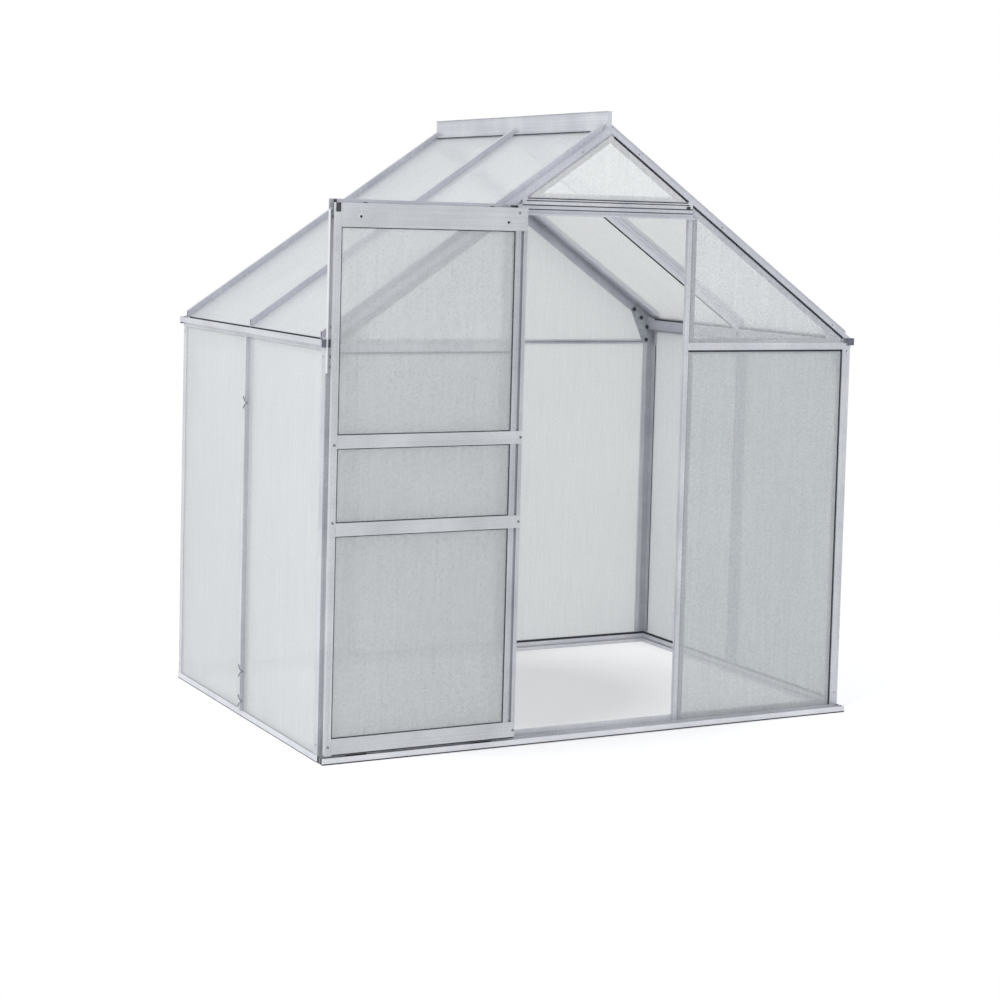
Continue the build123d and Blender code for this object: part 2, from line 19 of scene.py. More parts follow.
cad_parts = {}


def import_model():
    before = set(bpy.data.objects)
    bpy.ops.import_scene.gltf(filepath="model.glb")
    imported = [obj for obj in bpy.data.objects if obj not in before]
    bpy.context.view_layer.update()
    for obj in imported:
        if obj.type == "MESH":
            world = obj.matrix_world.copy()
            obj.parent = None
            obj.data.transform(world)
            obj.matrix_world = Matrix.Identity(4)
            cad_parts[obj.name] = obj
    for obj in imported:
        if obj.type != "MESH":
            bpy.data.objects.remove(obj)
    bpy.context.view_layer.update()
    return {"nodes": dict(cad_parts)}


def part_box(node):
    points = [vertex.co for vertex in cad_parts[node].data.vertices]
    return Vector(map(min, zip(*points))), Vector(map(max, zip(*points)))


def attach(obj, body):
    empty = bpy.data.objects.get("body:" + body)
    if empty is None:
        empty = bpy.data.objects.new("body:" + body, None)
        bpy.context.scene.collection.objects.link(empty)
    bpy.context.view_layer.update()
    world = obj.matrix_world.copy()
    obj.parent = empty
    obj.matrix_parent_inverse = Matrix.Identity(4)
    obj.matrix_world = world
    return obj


log = logging.getLogger("greenhouse")

Socket = bpy.types.NodeSocket
Pair = tuple[float, float]
Triple = tuple[float, float, float]
Corners = tuple[Vector, Vector]
Place = tuple[Vector, Vector, Vector]

SIDES = ((-1, "left"), (1, "right"))
ENDS = ((-1, "front"), (1, "back"))
# The corner that the open door covers, as an end and a side.
BEHIND_DOOR = (-1, -1)
UP = (0.0, 0.0, 1.0)
TO_FRONT = (0.0, -1.0, 0.0)
# The ways out of and into the building, for a piece on its right.
OUTWARD = (1.0, 0.0, 0.0)
INWARD = (-1.0, 0.0, 0.0)
WHITE = (1.0, 1.0, 1.0)
BLACK = (0.0, 0.0, 0.0)

# Points nearer together than this are one.
ONE_POINT = 0.00001
# Edges that bend less than this are shaded smooth, on a piece and on a wire.
SMOOTH_BEND = math.radians(35.0)
WIRE_BEND = math.radians(50.0)
# A face looks along an axis where its normal goes at least this far along it.
LOOKS_ALONG = 0.95
# A piece's rim lies above this share of its height.
RIM = 0.9
# The sockets of a Mix node: its factor, its two colours, and its colour result.
MIX_INPUTS = (0, 6, 7)
MIX_RESULT = 2


class Axis(Enum):
    """The direction that a grain or a flute runs in."""

    ACROSS = (1.0, 0.0, 0.0)
    ALONG = (0.0, 1.0, 0.0)
    UP = (0.0, 0.0, 1.0)


class Body(str, Enum):
    """The two parts of the greenhouse that move against each other."""

    FRAME = "frame"
    DOOR = "door"


class Slot(str, Enum):
    """The stock that an added piece is made of."""

    ALUMINIUM = "aluminium"
    STEEL = "steel"
    NYLON = "nylon"


class Section(Enum):
    """The width of each black strip of the seals and painted shade, and how far its back stands out."""

    GLAZING = (0.0052, 0.0032)
    SILL = (0.0085, 0.0024)
    GUTTER = (0.0060, 0.0024)
    CORNER = (0.0040, 0.0012)
    HEAD = (0.0030, 0.0012)
    HEAD_THIN = (0.0026, 0.0012)
    FOOT = (0.0040, 0.0009)
    DOOR_FOOT = (0.0034, 0.0009)
    SIDE_FOOT = (0.0020, 0.0009)
    ROOF_BAR = (0.0075, 0.0032)
    ROOF_FOOT = (0.0060, 0.0028)
    RIDGE = (0.0035, 0.0016)


@dataclass(frozen=True)
class Form:
    """The main lines of the frame, and what follows from them.

    Attributes:
        half: from the middle to the outer face of a side.
        front: Y of the front gable's outer face.
        back: Y of the back gable's outer face.
        eaves: height of the tops of the corner posts.
        edge: height of the roof's outer face over the sides.
        apex: height of the roof's outer face in the middle.
        post_face: width of a corner post's face.
        panel_back: depth of the panels' channel behind a gable's face.
        flange_back: depth of the back of the glazing flanges.
        plate_back: depth of the inner faces of the corner plates.
    """

    half: float = 0.935
    front: float = -0.610
    back: float = 0.6485
    eaves: float = 1.228
    edge: float = 1.2465
    apex: float = 1.8985
    post_face: float = 0.030
    panel_back: float = 0.006
    flange_back: float = 0.0075
    plate_back: float = 0.0095

    @property
    def pitch(self) -> float:
        """The slope of the roof, in radians."""
        return math.atan2(self.apex - self.edge, self.half)

    @property
    def middle(self) -> float:
        """Y of the studs and roof bars, half way between the gables."""
        return (self.front + self.back) / 2

    def roof(self, x: float, inset: float = 0.0) -> float:
        """The height, at a distance from the middle, of a line that lies inside the roof's outer face."""
        return self.apex - abs(x) * math.tan(self.pitch) - inset / math.cos(self.pitch)

    def gable(self, end: int, depth: float = 0.0) -> float:
        """A depth behind the outer face of a gable, as Y, with -1 for the front and 1 for the back."""
        return self.front + depth if end < 0 else self.back - depth

    def bays(self, edge: float, gap: float) -> tuple[tuple[float, float, str], ...]:
        """The two bays of a side.

        Args:
            edge: how far from the gables they stay.
            gap: how far from the middle they stay.

        Returns:
            For each bay the Y of its start and its end, and its name.
        """
        return ((self.front + edge, self.middle - gap, "front"),
                (self.middle + gap, self.back - edge, "back"))


class Nodes:
    """A node tree that is built a node at a time."""

    def __init__(self, tree: bpy.types.NodeTree) -> None:
        """Takes over a tree."""
        self.tree = tree

    def feed(self, socket: Socket, value: object) -> None:
        """Links a socket, or sets its value.

        Args:
            socket: the socket to feed.
            value: another socket, a number, a vector or a colour.
        """
        if isinstance(value, Socket):
            self.tree.links.new(value, socket)
        elif socket.type == "RGBA":
            socket.default_value = (*value, 1.0)
        else:
            socket.default_value = value

    def add(self, kind: str, **settings: object) -> bpy.types.Node:
        """Adds a node.

        Args:
            kind: the node's type.
            settings: attributes of the node, or what its sockets get, by name.

        Returns:
            The new node.
        """
        node = self.tree.nodes.new(kind)
        for key, value in settings.items():
            if hasattr(node, key):
                setattr(node, key, value)
            else:
                self.feed(node.inputs[key.replace("_", " ")], value)
        return node

    def step(self, kind: str, *values: object, **settings: object) -> Socket:
        """Adds a node and feeds its sockets in their order.

        Args:
            kind: the node's type.
            values: what its first sockets get.
            settings: as for add.

        Returns:
            The node's first result.
        """
        node = self.add(kind, **settings)
        for socket, value in zip(node.inputs, values):
            self.feed(socket, value)
        return node.outputs[0]

    def sum(self, operation: str, first: object, second: object = 0.0) -> Socket:
        """One step of arithmetic with sockets or numbers."""
        return self.step("ShaderNodeMath", first, second, operation=operation)

    def weigh(self, parts: tuple[Socket, ...], shares: tuple[float, ...]) -> Socket:
        """Adds sockets up.

        Args:
            parts: the sockets.
            shares: what each is multiplied by.

        Returns:
            The socket with the result.
        """
        total, *others = (self.sum("MULTIPLY", part, share) for part, share in zip(parts, shares))
        for other in others:
            total = self.sum("ADD", total, other)
        return total

    def place(self, scale: Triple = (1.0, 1.0, 1.0)) -> Socket:
        """Object coordinates, scaled along each axis."""
        where = self.add("ShaderNodeTexCoord").outputs["Object"]
        return self.add("ShaderNodeMapping", Vector=where, Scale=scale).outputs["Vector"]

    def axes(self) -> bpy.types.bpy_prop_collection:
        """Three sockets with the X, Y and Z of Object coordinates."""
        return self.add("ShaderNodeSeparateXYZ", Vector=self.place()).outputs

    def noise(self, grains: float | Triple, detail: float) -> Socket:
        """Noise on Object coordinates.

        Args:
            grains: how many grains there are to a metre, the same way all round or along each axis.
            detail: how many finer layers lie on top.

        Returns:
            The socket with its value, near 0.5 on average.
        """
        scale = (grains,) * 3 if isinstance(grains, float) else grains
        grain = self.add("ShaderNodeTexNoise", Vector=self.place(scale), Scale=1.0, Detail=detail)
        return grain.outputs[0]

    def spread(self, value: Socket, low: float, high: float, to_low: float = 0.0,
               to_high: float = 1.0) -> Socket:
        """Stretches the range from low to high to another one."""
        return self.step("ShaderNodeMapRange", value, low, high, to_low, to_high)

    def blend(self, factor: Socket, low: Socket | Triple, high: Socket | Triple) -> Socket:
        """Blends two colours.

        Args:
            factor: from 0 for the first colour to 1 for the second.
            low: the first colour.
            high: the second colour.

        Returns:
            The socket with the colour.
        """
        mix = self.add("ShaderNodeMix", data_type="RGBA")
        for number, value in zip(MIX_INPUTS, (factor, low, high)):
            self.feed(mix.inputs[number], value)
        return mix.outputs[MIX_RESULT]

    def cover(self, factor: Socket, under: Socket, over: Socket) -> Socket:
        """Lays one shader over another, by a factor."""
        return self.step("ShaderNodeMixShader", factor, under, over)

    def any_ray(self, *kinds: str) -> Socket:
        """Finds the rays of some kinds.

        Args:
            kinds: the names of the Light Path node's results.

        Returns:
            A socket that is 1 for a ray of one of them, and otherwise 0.
        """
        path = self.add("ShaderNodeLightPath")
        found, *others = (path.outputs[kind] for kind in kinds)
        for other in others:
            found = self.sum("MAXIMUM", found, other)
        return found

    def seen(self) -> Socket:
        """A socket that is 1 for a ray from the camera, off gloss or through glass."""
        return self.any_ray("Is Camera Ray", "Is Glossy Ray", "Is Transmission Ray")


class Shader(Nodes):
    """The nodes of a material that starts as one Principled surface."""

    def __init__(self, name: str) -> None:
        """Starts a material.

        Args:
            name: the material's name.
        """
        self.material = bpy.data.materials.new(name)
        self.material.use_nodes = True
        super().__init__(self.material.node_tree)
        self.surface = self.tree.nodes["Principled BSDF"]
        self.output = self.tree.nodes["Material Output"].inputs["Surface"]

    def give(self, **values: object) -> None:
        """Feeds the surface's sockets, by name."""
        for name, value in values.items():
            self.feed(self.surface.inputs[name.replace("_", " ")], value)

    def bump(self, height: Socket, strength: float, distance: float) -> None:
        """Lets a height shape the surface, to a depth in metres."""
        relief = self.add("ShaderNodeBump", Strength=strength, Distance=distance, Height=height)
        self.give(Normal=relief.outputs[0])


@dataclass(frozen=True)
class Aluminium:
    """Mill-finished extrusion with fine die lines along its length and a faint bloom.

    Attributes:
        light: its paler colour.
        dark: its darker colour.
        grain: the way that the bar was drawn.
        painted_light_under_sheets: its colour under the roof's sheets, or None where it is the same.
        lines: die lines to a metre, along the bar and across it.
        bloom: patches to a metre.
        specks: specks to a metre.
        shares: of the lines, the bloom and the specks in the tone.
        tones: the sums of the shares at which the dark and the light colour start.
        span: the range of the lines over which the roughness changes.
        swing: how much smoother and rougher the lines are.
    """

    name: str
    light: Triple = (0.66, 0.675, 0.705)
    dark: Triple = (0.45, 0.465, 0.505)
    roughness: float = 0.36
    metallic: float = 0.35
    grain: Axis = Axis.UP
    painted_light_under_sheets: Triple | None = None
    lines: Pair = (1.2, 420.0)
    bloom: float = 7.0
    specks: float = 260.0
    shares: Triple = (1.0, 1.0, 0.8)
    tones: Pair = (1.05, 1.75)
    span: Pair = (0.2, 0.8)
    swing: Pair = (-0.08, 0.10)

    def under_roof(self, s: Shader, form: Form) -> Socket:
        """Finds what lies under the roof's sheets.

        Args:
            s: the material's nodes.
            form: the main lines of the frame.

        Returns:
            A socket that is 1 there and 0 outside the sheets.
        """
        x, _, z = s.axes()
        slope = s.sum("MULTIPLY", s.sum("ABSOLUTE", x), math.tan(form.pitch))
        below = s.sum("SUBTRACT", form.apex, s.sum("ADD", z, slope))
        return s.spread(below, form.flange_back, form.plate_back)

    def material(self) -> bpy.types.Material:
        """Builds the finish.

        Returns:
            Its material.
        """
        s = Shader(self.name)
        along, across = self.lines
        lines = s.noise(tuple(along if part else across for part in self.grain.value), detail=4.0)
        bloom = s.noise(self.bloom, detail=3.0)
        specks = s.noise(self.specks, detail=1.0)
        tone = s.weigh((lines, bloom, specks), self.shares)
        colour = s.blend(s.spread(tone, *self.tones), self.dark, self.light)
        # Under the roof's sheets the bar is painted paler: painted light on the part that their shade falls
        # on.
        if self.painted_light_under_sheets:
            colour = s.blend(self.under_roof(s, Form()), colour, self.painted_light_under_sheets)
        roughness = s.spread(lines, *self.span, *(self.roughness + part for part in self.swing))
        s.give(Base_Color=colour, Metallic=self.metallic, Roughness=roughness)
        s.bump(lines, strength=0.15, distance=0.0005)
        return s.material


@dataclass(frozen=True)
class TwinWall:
    """Milky twin-wall sheet with upright webs, fine grain and a slow change of tone.

    Attributes:
        clear: its colour between the webs.
        web: its colour at the webs.
        alpha: how much of what lies behind each of its faces it hides.
        across: the way from one web to the next.
        flute: the distance between webs.
        passed_on: the share of soft light that passes.
        streaks: streaks to a metre, across the webs and along them.
        grain: grains to a metre.
        cloud: patches to a metre.
        shares: of the webs, the streaks, the grain and the patches in the tone.
        tones: the sums of the shares at which the clear and the web colour start.
        span: the range of the grain over which the roughness changes.
        roughness: from the smoothest grain to the roughest.
    """

    name: str
    clear: Triple
    web: Triple
    alpha: float
    across: Axis = Axis.ACROSS
    flute: float = 0.0057
    passed_on: float = 0.7
    streaks: Pair = (90.0, 6.0)
    grain: float = 165.0
    cloud: float = 2.5
    shares: tuple[float, ...] = (0.22, 0.8, 2.2, 0.5)
    tones: Pair = (1.3, 2.2)
    span: Pair = (0.2, 0.8)
    roughness: Pair = (0.30, 0.46)

    def material(self) -> bpy.types.Material:
        """Builds the finish.

        Returns:
            Its material.
        """
        s = Shader(self.name)
        where = s.axes()[self.across.value.index(1.0)]
        wave = s.sum("SINE", s.sum("MULTIPLY", where, 2.0 * math.pi / self.flute))
        across, along = self.streaks
        streaks = s.noise(tuple(across if part else along for part in self.across.value), detail=2.0)
        grain = s.noise(self.grain, detail=2.0)
        cloud = s.noise(self.cloud, detail=2.0)
        tone = s.weigh((wave, streaks, grain, cloud), self.shares)
        s.give(Base_Color=s.blend(s.spread(tone, *self.tones), self.clear, self.web), Alpha=self.alpha,
               Specular_IOR_Level=0.3, Roughness=s.spread(grain, *self.span, *self.roughness))
        s.bump(wave, strength=0.05, distance=0.0005)
        soft = s.sum("MULTIPLY", s.any_ray("Is Shadow Ray", "Is Diffuse Ray"), self.passed_on)
        empty = s.add("ShaderNodeBsdfTransparent").outputs[0]
        s.feed(s.output, s.cover(soft, s.surface.outputs[0], empty))
        return s.material


@dataclass(frozen=True)
class Plain:
    """Zinc plate, spring wire, moulded nylon and the black of the seals and painted shade strips, mottled a
    little.

    Attributes:
        light: its paler colour.
        dark: its darker colour.
        grains: spots to a metre.
        span: the range of the spots over which colour and roughness change.
        swing: how much smoother and rougher the spots are.
    """

    name: str
    light: Triple
    dark: Triple
    roughness: float
    metallic: float = 0.0
    grains: float = 90.0
    span: Pair = (0.3, 0.7)
    swing: Pair = (-0.06, 0.08)

    def material(self) -> bpy.types.Material:
        """Builds the finish.

        Returns:
            Its material.
        """
        s = Shader(self.name)
        spots = s.noise(self.grains, detail=4.0)
        roughness = s.spread(spots, *self.span, *(self.roughness + part for part in self.swing))
        s.give(Base_Color=s.blend(s.spread(spots, *self.span), self.dark, self.light),
               Metallic=self.metallic, Roughness=roughness)
        s.bump(spots, strength=0.1, distance=0.0003)
        return s.material


class Bench:
    """A workbench that shapes one piece at a time in edit mode."""

    def __init__(self, name: str) -> None:
        """Clears the bench.

        Args:
            name: the name of the piece to come.
        """
        self.name = name
        self.piece: bpy.types.Object | None = None
        bpy.ops.object.select_all(action="DESELECT")

    def _open(self) -> "Bench":
        """Keeps the piece that was just added, and opens it in edit mode.

        Returns:
            The bench.
        """
        if self.piece is None:
            self.piece = bpy.context.object
            self.piece.name = self.name
            bpy.ops.object.transform_apply(location=True, rotation=True, scale=True)
            bpy.ops.object.mode_set(mode="EDIT")
            bpy.ops.mesh.select_mode(type="FACE")
        return self

    def block(self, size: Triple, at: Triple = (0.0, 0.0, 0.0)) -> "Bench":
        """Adds a block of the given size, at its middle."""
        bpy.ops.mesh.primitive_cube_add(size=1.0, location=at, scale=size)
        return self._open()

    def rod(self, radius: float, low: float, high: float, sides: int = 24) -> "Bench":
        """Adds an upright rod.

        Args:
            radius: its radius.
            low: the height of its foot.
            high: the height of its top.
            sides: how many sides it has.

        Returns:
            The bench.
        """
        bpy.ops.mesh.primitive_cylinder_add(vertices=sides, radius=radius, depth=high - low,
                                            location=(0.0, 0.0, (low + high) / 2))
        return self._open()

    def _select(self, kind: str, test: Callable[[object], bool]) -> "Bench":
        """Selects the faces or the edges that pass a test.

        Args:
            kind: FACE or EDGE.
            test: says whether one is wanted.

        Returns:
            The bench.
        """
        bpy.ops.mesh.select_mode(type=kind)
        bpy.ops.mesh.select_all(action="DESELECT")
        mesh = bmesh.from_edit_mesh(self.piece.data)
        for element in mesh.faces if kind == "FACE" else mesh.edges:
            element.select_set(test(element))
        bmesh.update_edit_mesh(self.piece.data)
        return self

    def pick(self, test: Callable[[Vector, Vector], bool]) -> "Bench":
        """Selects the faces whose middle and normal pass a test."""
        return self._select("FACE", lambda face: test(face.calc_center_median(), face.normal))

    def pick_top(self, axis: str, above: float) -> "Bench":
        """Selects the faces that look along an axis and lie above a height on it."""
        return self.pick(lambda at, n: getattr(n, axis) > LOOKS_ALONG and getattr(at, axis) > above)

    def pick_edges(self, test: Callable[[Vector, Vector], bool]) -> "Bench":
        """Selects the edges whose two ends pass a test."""
        return self._select("EDGE", lambda edge: test(edge.verts[0].co, edge.verts[1].co))

    def pick_rim(self, axis: str, above: float) -> "Bench":
        """Selects the edges that lie above a height on an axis."""
        return self.pick_edges(lambda a, b: getattr(a, axis) > above and getattr(b, axis) > above)

    def extrude(self, step: Triple) -> "Bench":
        """Pushes the selection out by a step."""
        bpy.ops.mesh.extrude_region_move(TRANSFORM_OT_translate={"value": step})
        return self

    def inset(self, width: float) -> "Bench":
        """Draws the selected faces in from their edges."""
        bpy.ops.mesh.inset(thickness=width, depth=0.0)
        return self

    def resize(self, factor: Triple, centre: Triple) -> "Bench":
        """Scales the selection about a point."""
        bpy.ops.transform.resize(value=factor, center_override=centre)
        return self

    def bevel(self, width: float, segments: int = 2) -> "Bench":
        """Rounds the selected edges."""
        bpy.ops.mesh.bevel(offset=width, segments=segments, affect="EDGES")
        return self

    def close(self) -> bpy.types.Object:
        """Merges doubles, turns the faces outward and leaves edit mode.

        Returns:
            The finished piece.
        """
        bpy.ops.mesh.select_all(action="SELECT")
        bpy.ops.mesh.remove_doubles(threshold=ONE_POINT)
        bpy.ops.mesh.normals_make_consistent(inside=False)
        bpy.ops.object.mode_set(mode="OBJECT")
        bpy.ops.object.shade_smooth_by_angle(angle=SMOOTH_BEND)
        return self.piece


def turned(x: Vector, y: Vector, z: Vector, where: Triple) -> Matrix:
    """Works out where an object stands.

    Args:
        x: the way that its X turns to.
        y: the way that its Y turns to.
        z: the way that its Z turns to.
        where: its place.

    Returns:
        Its matrix.
    """
    turn = Matrix((x, y, z)).transposed().to_4x4()
    turn.translation = where
    return turn


def settle(piece: bpy.types.Object, where: Triple, out: Triple, along: Triple = UP) -> None:
    """Turns a piece so that its Y points out and its Z along, and fixes it there.

    Args:
        piece: the piece, made at the origin.
        where: its place.
        out: the way that its Y turns to.
        along: the way that its Z turns to.
    """
    y, z = Vector(out), Vector(along)
    piece.matrix_world = turned(y.cross(z), y, z, where)
    bpy.ops.object.select_all(action="DESELECT")
    piece.select_set(True)
    bpy.context.view_layer.objects.active = piece
    bpy.ops.object.transform_apply(location=True, rotation=True, scale=True)


def copy_of(master: bpy.types.Object, name: str) -> bpy.types.Object:
    """Copies a piece, with its own mesh.

    Args:
        master: the piece to copy.
        name: the copy's name.

    Returns:
        The copy.
    """
    piece = master.copy()
    piece.data = master.data.copy()
    piece.name = name
    bpy.context.scene.collection.objects.link(piece)
    return piece


def on_side(side: int, *right: Triple) -> list[Triple]:
    """Points and directions on the right as they are, or mirrored to the left where side is -1."""
    return [(side * x, y, z) for x, y, z in right]


def facing(points: list[Triple], out: Triple, along: Triple = UP) -> list[Place]:
    """Places for copies that all face the same way."""
    return [(Vector(point), Vector(out), Vector(along)) for point in points]


class Workshop:
    """Dresses pieces, lets them ride on their bodies and counts them."""

    def __init__(self, finishes: dict[str, bpy.types.Material]) -> None:
        """Takes over the finishes, by name."""
        self.finishes = finishes
        self.made = 0

    def deliver(self, piece: bpy.types.Object, finish: str, slot: Slot, body: Body = Body.FRAME) -> None:
        """Dresses a piece and sets it on its body.

        Args:
            piece: the piece, in its place.
            finish: the finish's name.
            slot: the stock that it is made of; not used.
            body: the body that it rides on.
        """
        piece.data.materials.clear()
        piece.data.materials.append(self.finishes[finish])
        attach(piece, body.value)
        self.made += 1
        log.info("piece %s, %s, on the %s", piece.name, finish, body.value)

    def repeat(self, master: bpy.types.Object, name: str, places: list[Place], finish: str,
               body: Body = Body.FRAME) -> None:
        """Copies a steel master to each place and takes the master away.

        Args:
            master: the piece, made at the origin.
            name: the first part of the copies' names.
            places: for each copy its place, and the ways that its Y and Z turn to.
            finish: the finish's name.
            body: the body that they ride on.
        """
        for number, (where, out, along) in enumerate(places, start=1):
            piece = copy_of(master, f"{name}_{number}")
            settle(piece, where, out, along)
            self.deliver(piece, finish, Slot.STEEL, body)
        bpy.data.objects.remove(master, do_unlink=True)


@dataclass
class SealsAndShadeStrips:
    """Black strips between the bars and the gable panels, and under the edges of the bars and sheets. Those
    at the gables and over the door are seals and also painted shade for the shadow lines in the gaps; those
    on the sills, gutters, corners, feet and roof are painted shade only.

    Attributes:
        rounding: of a strip's back, as a share of its width.
        groove_edge: from a strip's edge to its groove, as a share of its width.
        groove_depth: as a share of its height.
        channel: width of the channel between a bar and a panel.
        rafter_leg: from the roof's face to the inner edge of a gable rafter.
        jamb_outer: from the middle to the outer face of a door jamb.
        bar_foot: height of the underside of the front gable's side bars.
        post_foot: height where the posts' seals start.
        peak_gap: from the middle to the rafters' seals.
        bar_gap: from the posts' seals to those of the side bars.
        sill_edge: from the outer faces of the building to the sills' shade strips.
        sill_start: from the front to the side sills' shade strips.
        sill_top: height of the sills' shade strips.
        gutter_edge: from the gables to the gutters' shade strips.
        gutter_rise: from the eaves to the gutters' shade strips.
        corner_depth: from the back to the corner posts' shade strips.
        corner_foot: height where they start.
        corner_head: from the eaves down to their tops.
        track_skin: how far the top track's face stands in front of the gable.
        head_rows: for each strip over the door its name, its height over the underside of the
        bar, whether it lies on the panel's bar, its reach from the middle and its section.
    """

    form: Form
    shop: Workshop
    rounding: float = 0.28
    groove_edge: float = 0.12
    groove_depth: float = 0.35
    channel: float = 0.007
    rafter_leg: float = 0.014
    jamb_outer: float = 0.304
    bar_foot: float = 1.209
    post_foot: float = 0.003
    peak_gap: float = 0.012
    bar_gap: float = 0.003
    sill_edge: float = 0.009
    sill_start: float = 0.010
    sill_top: float = 0.0335
    gutter_edge: float = 0.06
    gutter_rise: float = 0.0148
    corner_depth: float = 0.0352
    corner_foot: float = 0.045
    corner_head: float = 0.085
    track_skin: float = 0.0015
    head_rows: tuple[tuple[str, float, bool, float, Section], ...] = (
        ("upper", 0.0195, True, 0.286, Section.HEAD),
        ("middle", 0.0125, True, 0.290, Section.HEAD_THIN),
        ("joint", -0.0012, False, 0.303, Section.HEAD),
        ("lower", -0.0140, False, 0.303, Section.HEAD_THIN),
    )

    def strip(self, name: str, start: Triple, end: Triple, out: Triple,
              section: Section = Section.GLAZING, body: Body = Body.FRAME) -> None:
        """A black strip with a rounded back and a groove along it, as a seal and as painted shade.

        Args:
            name: its name.
            start: one end of its foot.
            end: the other end.
            out: the way that its back faces.
            section: its width and height.
            body: the body that it rides on.
        """
        w, h = section.value
        run = Vector(end) - Vector(start)
        bench = Bench(name).block((w, h, run.length), (0.0, h / 2, run.length / 2))
        bench.pick_edges(lambda a, b: min(a.y, b.y) > h * RIM and abs(a.x - b.x) < ONE_POINT)
        bench.bevel(w * self.rounding, segments=3)
        bench.pick_top("y", 0.0).inset(w * self.groove_edge).extrude((0.0, -h * self.groove_depth, 0.0))
        piece = bench.close()
        settle(piece, start, out, run.normalized())
        self.shop.deliver(piece, "rubber_and_painted_shade", Slot.NYLON, body)

    def gable_shade_and_seal_strips(self, end: int, where: str) -> None:
        """The black strips of one gable, beside its posts and under its rafters, and in front under its
        bars: seals, and painted shade for the shadow lines in the gaps beside the bars.

        Args:
            end: -1 for the front, 1 for the back.
            where: the end's name.
        """
        f, out = self.form, (0.0, float(end), 0.0)
        y = f.gable(end, f.panel_back)
        x = f.half - f.post_face - self.channel / 2
        inset = self.rafter_leg + self.channel / 2
        near, far = self.peak_gap, f.half - f.post_face
        for side, hand in SIDES:
            self.strip(f"post_shade_and_seal_{where}_{hand}", (side * x, y, self.post_foot),
                       (side * x, y, f.eaves), out)
            if (end, side) != BEHIND_DOOR:
                self.strip(f"rafter_shade_and_seal_{where}_{hand}", (side * near, y, f.roof(near, inset)),
                           (side * far, y, f.roof(far, inset)), out)
            if end < 0:
                # The strips under the front gable's side bars are seals and painted shade for the shadow
                # line under the bars.
                z = self.bar_foot - self.channel / 2
                self.strip(f"bar_seal_{where}_{hand}", (side * self.jamb_outer, y, z),
                           (side * (x - self.bar_gap), y, z), out)

    def wall_shade_strips(self) -> None:
        """Thin black strips inside the building, on the sills, under the gutters and at the back posts:
        painted shade for the shadow lines there.
        """
        f = self.form
        sill, back, top = f.half - self.sill_edge, f.back - self.sill_edge, self.sill_top
        gutter, high = f.half - f.post_face, f.eaves + self.gutter_rise
        corner, deep = f.half - f.flange_back, f.gable(1, self.corner_depth)
        _, rise = Section.SILL.value
        self.strip("sill_shade_strip_back", (-sill, back, top), (sill, back, top), TO_FRONT, Section.SILL)
        for side, hand in SIDES:
            self.strip(f"sill_shade_strip_{hand}", *on_side(
                side, (sill, f.front + self.sill_start, top), (sill, back - rise, top), INWARD),
                Section.SILL)
            self.strip(f"gutter_shade_strip_{hand}", *on_side(
                side, (gutter, f.front + self.gutter_edge, high), (gutter, f.back - self.gutter_edge, high),
                INWARD), Section.GUTTER)
            self.strip(f"corner_shade_strip_{hand}", *on_side(
                side, (corner, deep, self.corner_foot), (corner, deep, f.eaves - self.corner_head), INWARD),
                Section.CORNER)

    def head_seals(self) -> None:
        """Black strips along the bar over the door, under its panel, along its joint and on the track: seals
        and a dark joint, and painted shade for the shadow lines along the bar and the track.
        """
        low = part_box("door_head_bar")[0].z
        for name, rise, on_bar, reach, section in self.head_rows:
            y = self.form.front - (0.0 if on_bar else self.track_skin)
            self.strip(f"head_shade_and_seal_line_{name}", (-reach, y, low + rise), (reach, y, low + rise), TO_FRONT,
                       section)

    def foot_seals(self) -> None:
        """Thin black strips under the bottom track, the door and the outer edges of the side sills: painted
        shade for the shadow lines at the foot and in the gap under the door.
        """
        f = self.form
        track_reach, track_front, track_foot = f.half + 0.001, f.front - 0.0396, 0.0020
        self.strip("foot_shade_strip_front", (-track_reach, track_front, track_foot),
                   (track_reach, track_front, track_foot), TO_FRONT, Section.FOOT)
        low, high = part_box("door_bottom_rail")
        door_gap, door_foot = 0.002, low.z + 0.0019
        self.strip("door_foot_seal", (low.x + door_gap, low.y, door_foot),
                   (high.x - door_gap, low.y, door_foot), TO_FRONT, Section.DOOR_FOOT, Body.DOOR)
        sill_side, sill_foot = f.half + 0.0013, 0.0010
        for side, hand in SIDES:
            self.strip(f"foot_shade_strip_{hand}", *on_side(
                side, (sill_side, f.front, sill_foot), (sill_side, f.back, sill_foot), OUTWARD),
                Section.SIDE_FOOT)

    def roof_shade_strips(self) -> None:
        """Black strips on the roof bars' ribs, under the sheets' lower edges and under the ridge's lips:
        painted shade for the shadow lines there.
        """
        f = self.form
        steep, flat = math.sin(f.pitch), math.cos(f.pitch)
        bar_near, bar_far, rib = 0.03, f.half - 0.06, f.flange_back + 0.021
        foot, foot_rise = f.half - 0.0061, f.edge - 0.0006
        lip, lip_edge, lip_skin = 0.0175, 0.045, 0.0012
        lip_rise = f.roof(lip, -lip_skin)
        for side, hand in SIDES:
            self.strip(f"roof_bar_shade_strip_{hand}", *on_side(
                side, (bar_near, f.middle, f.roof(bar_near, rib)), (bar_far, f.middle, f.roof(bar_far, rib)),
                (-steep, 0.0, -flat)), Section.ROOF_BAR)
            for start, end, bay in f.bays(edge=0.044, gap=0.0085):
                self.strip(f"roof_foot_seal_{hand}_{bay}", *on_side(
                    side, (foot, start, foot_rise), (foot, end, foot_rise), (flat, 0.0, -steep)),
                    Section.ROOF_FOOT)
            self.strip(f"ridge_shade_strip_{hand}", *on_side(
                side, (lip, f.front + lip_edge, lip_rise), (lip, f.back - lip_edge, lip_rise),
                (steep, 0.0, flat)), Section.RIDGE)

